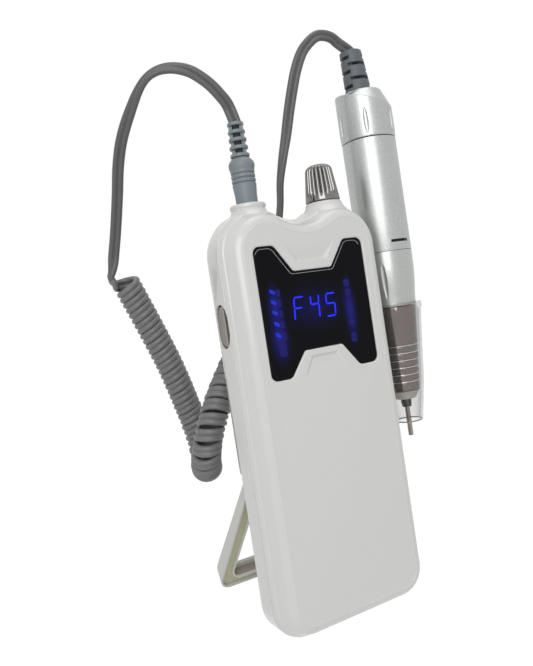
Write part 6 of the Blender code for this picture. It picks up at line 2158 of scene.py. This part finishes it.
    def build(self, maker: Maker, plug_exit: Vector, boot_exit: Vector) -> None:
        """Makes the three parts of the cord and logs their lengths.

        Args:
            maker: Adds the pieces.
            plug_exit: Where the lead leaves the plug.
            boot_exit: Where the lead enters the boot.
        """
        up = np.array((maker.place.to_3x3() @ Vector((0, 0, 1))).normalized())
        leave, arrive = np.array(plug_exit), np.array(boot_exit)
        curls, wide = self.curls()
        start_way = (curls[1] - curls[0]) / np.linalg.norm(curls[1] - curls[0])
        end_way = (curls[-1] - curls[-2]) / np.linalg.norm(curls[-1] - curls[-2])
        rise = up * self.straight
        first = self.lead(leave - up * 0.001, rise, self.plug_route(), curls[0], -start_way * self.coil_end)
        last = self.lead(curls[-1], end_way * self.coil_end, self.tool_route(), arrive - up * 0.001, rise)
        first_wide = self.widths(first, wide[0], ((0.048, 0.014, 45.0),))
        last_wide = self.widths(last[::-1], wide[-1], ((0.100, 0.030, 75.0),))[::-1]
        section = self.section()
        thin = self.section(self.lead_scale)
        identity = Matrix.Identity(4)
        # Both straight leads take the darker grey: painted shade.
        plug_lead = maker.add(Tube.swept(first, first_wide, thin), "plug_lead", None, LEAD_SHADED_GREY, ["lead_plug_side"],
                              angle=60, place=identity)
        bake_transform(plug_lead)
        coil = maker.add(Tube.swept(curls, wide, section), "cord_curls", Body.BOX, GREY_CORD, ["curly_cord"], angle=60,
                         place=identity)
        tool_lead = maker.add(Tube.swept(last, last_wide, thin), "tool_lead", None, LEAD_SHADED_GREY, ["lead_tool_side"],
                              angle=60, place=identity)
        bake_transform(tool_lead)
        for piece, path, stiffness in ((plug_lead, first, "stiff"), (coil, curls, "stiff"), (tool_lead, last, "stiff")):
            length = float(Route.travelled(path)[-1])
            self.width * 0.78
            log.info("%s: %.4f m long", piece.name, length)


class Inside:
    """CAD nodes that show as they are: they get finishes only."""

    FINISHES: dict[str, Finish] = {
        "cover_screw": STEEL, "holder_screw": STEEL, "stand_pin": STEEL, "display_module": BLACK,
        "main_board": BOARD_GREEN, "button_switch": BLACK, "battery_cell": CELL_WRAP, "battery_tray": BLACK,
        "charge_port": NICKEL, "output_socket": NICKEL, "plug_barrel": NICKEL, "potentiometer": STEEL,
        "control_nut": STEEL, "control_shaft": STEEL, "motor_can": NICKEL, "motor_magnet": BLACK,
        "motor_rotor": COPPER, "brush_cap": BLACK, "carbon_brush": BLACK, "lock_pin": STEEL,
        "front_bearing": STEEL, "rear_bearing": STEEL, "chuck_spindle": STEEL, "drive_coupling": BOOT_GREY,
        "collet_spring": STEEL,
    }

    def dress(self) -> None:
        """Gives every CAD node that still shows its finish."""
        for name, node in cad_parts.items():
            if node.hide_render:
                continue
            finish = next(f for start, f in self.FINISHES.items() if name.startswith(start))
            node.data.materials.clear()
            node.data.materials.append(finish.material())
            log.info("%s: %s", name, finish.name)


@dataclass(frozen=True)
class Studio:
    """Camera, floor, lights and surroundings."""

    eye: Point = (-0.147400, -0.205848, 0.189531)
    right: Point = (0.868112, -0.495333, -0.032032)
    up: Point = (0.148352, 0.197333, 0.969047)
    forward: Point = (0.473680, 0.845993, -0.244791)
    lens: float = 35.405
    sensor: float = 36.0
    floor_size: float = 6.0
    floor_glow: float = 1.12
    floor_share: float = 0.86
    ambient: float = 0.37
    aim: Point = (0.0, 0.02, 0.1)

    def build(self) -> None:
        """Sets up everything round the object."""
        scene = bpy.context.scene
        scene.view_settings.view_transform = "Standard"
        self.camera(scene)
        self.floor()
        self.light("key", (-0.55, -0.70, 0.65), 0.70, 5.0)
        self.light("top", (0.10, 0.10, 1.10), 0.60, 2.0)
        self.world(scene)

    def camera(self, scene: bpy.types.Scene) -> None:
        """Camera solved from the photo's straight edges.

        Args:
            scene: Scene that gets it.
        """
        data = bpy.data.cameras.new("camera")
        data.sensor_width = self.sensor
        data.lens = self.lens
        data.clip_start = 0.01
        eye = bpy.data.objects.new("camera", data)
        axes = Matrix((self.right, self.up, tuple(-v for v in self.forward))).transposed()
        eye.matrix_world = Matrix.Translation(self.eye) @ axes.to_4x4()
        scene.collection.objects.link(eye)
        scene.camera = eye

    def floor(self) -> None:
        """Pale floor that keeps the object's shadow and is white to camera, mirrors and glass elsewhere."""
        half = self.floor_size / 2
        data = bpy.data.meshes.new("floor")
        data.from_pydata([(-half, -half, 0), (half, -half, 0), (half, half, 0), (-half, half, 0)], [], [(0, 1, 2, 3)])
        made = Maker.link("floor", data)
        material = bpy.data.materials.new("floor")
        material.use_nodes = True
        graph = Graph(material.node_tree)
        path = self.seen(graph)
        matt = graph.node("ShaderNodeBsdfDiffuse", {}, {"Color": (0.8, 0.8, 0.8, 1)})
        lit = graph.node("ShaderNodeEmission", {}, {"Color": (1, 1, 1, 1), "Strength": self.floor_glow})
        mixed = graph.node("ShaderNodeMixShader", {}, {0: path * self.floor_share, 1: matt, 2: lit})
        graph.node("ShaderNodeOutputMaterial", {}, {"Surface": mixed})
        data.materials.append(material)

    def light(self, name: str, spot: Point, size: float, power: float) -> None:
        """Soft square light that faces the object.

        Args:
            name: Its name.
            spot: Its place in the row frame.
            size: Length of a side.
            power: Power in watts.
        """
        data = bpy.data.lights.new(name, "AREA")
        data.size = size
        data.energy = power
        made = bpy.data.objects.new(name, data)
        made.location = spot
        made.rotation_euler = (Vector(self.aim) - Vector(spot)).to_track_quat("-Z", "Y").to_euler()
        bpy.context.scene.collection.objects.link(made)

    def world(self, scene: bpy.types.Scene) -> None:
        """White to the camera, mirrors and glass, and dimmer as a light.

        Args:
            scene: Scene that gets it.
        """
        world = bpy.data.worlds.new("surroundings")
        world.use_nodes = True
        scene.world = world
        graph = Graph(world.node_tree)
        seen = self.seen(graph)
        strength = seen + (1.0 - seen) * self.ambient
        back = graph.node("ShaderNodeBackground", {}, {"Color": (1, 1, 1, 1), "Strength": strength})
        graph.node("ShaderNodeOutputWorld", {}, {"Surface": back})

    @staticmethod
    def seen(graph: Graph) -> Sock:
        """One for rays from the camera, a mirror or glass, and nought for the rest.

        Args:
            graph: Node tree that gets the nodes.

        Returns:
            The share, 0 or 1.
        """
        names = ("Is Camera Ray", "Is Glossy Ray", "Is Transmission Ray")
        camera, mirror, glass = (graph.node("ShaderNodeLightPath", out=name) for name in names)
        return (camera + mirror + glass).clamped()


def main() -> None:
    """Builds the object piece by piece, then its surroundings."""
    logging.basicConfig(level=logging.INFO, format="%(message)s")
    box = ControlBox()
    maker = Maker(box.place())
    hand = Handpiece()
    plug = CordPlug()
    plug_spot = (-box.hump_x, box.top_y, box.height + box.collar_rise + GAP)
    plug_exit = maker.place @ Vector((plug_spot[0], plug_spot[1], plug_spot[2] + plug.length))
    TwinCord().build(maker, plug_exit, maker.place @ hand.boot_top)
    box.build(maker)
    SpeedKnob().build(maker, (box.hump_x, box.top_y, box.height + box.seat_rise + GAP))
    DirectionButton().build(maker, (-box.side, box.button_y, box.button_z))
    Kickstand().build(maker, box.heel())
    plug.build(maker, plug_spot)
    hand.build(maker)
    Holder().build(maker, hand, box.side)
    Inside().dress()
    Studio().build()


if __name__ == "__main__":
    main()
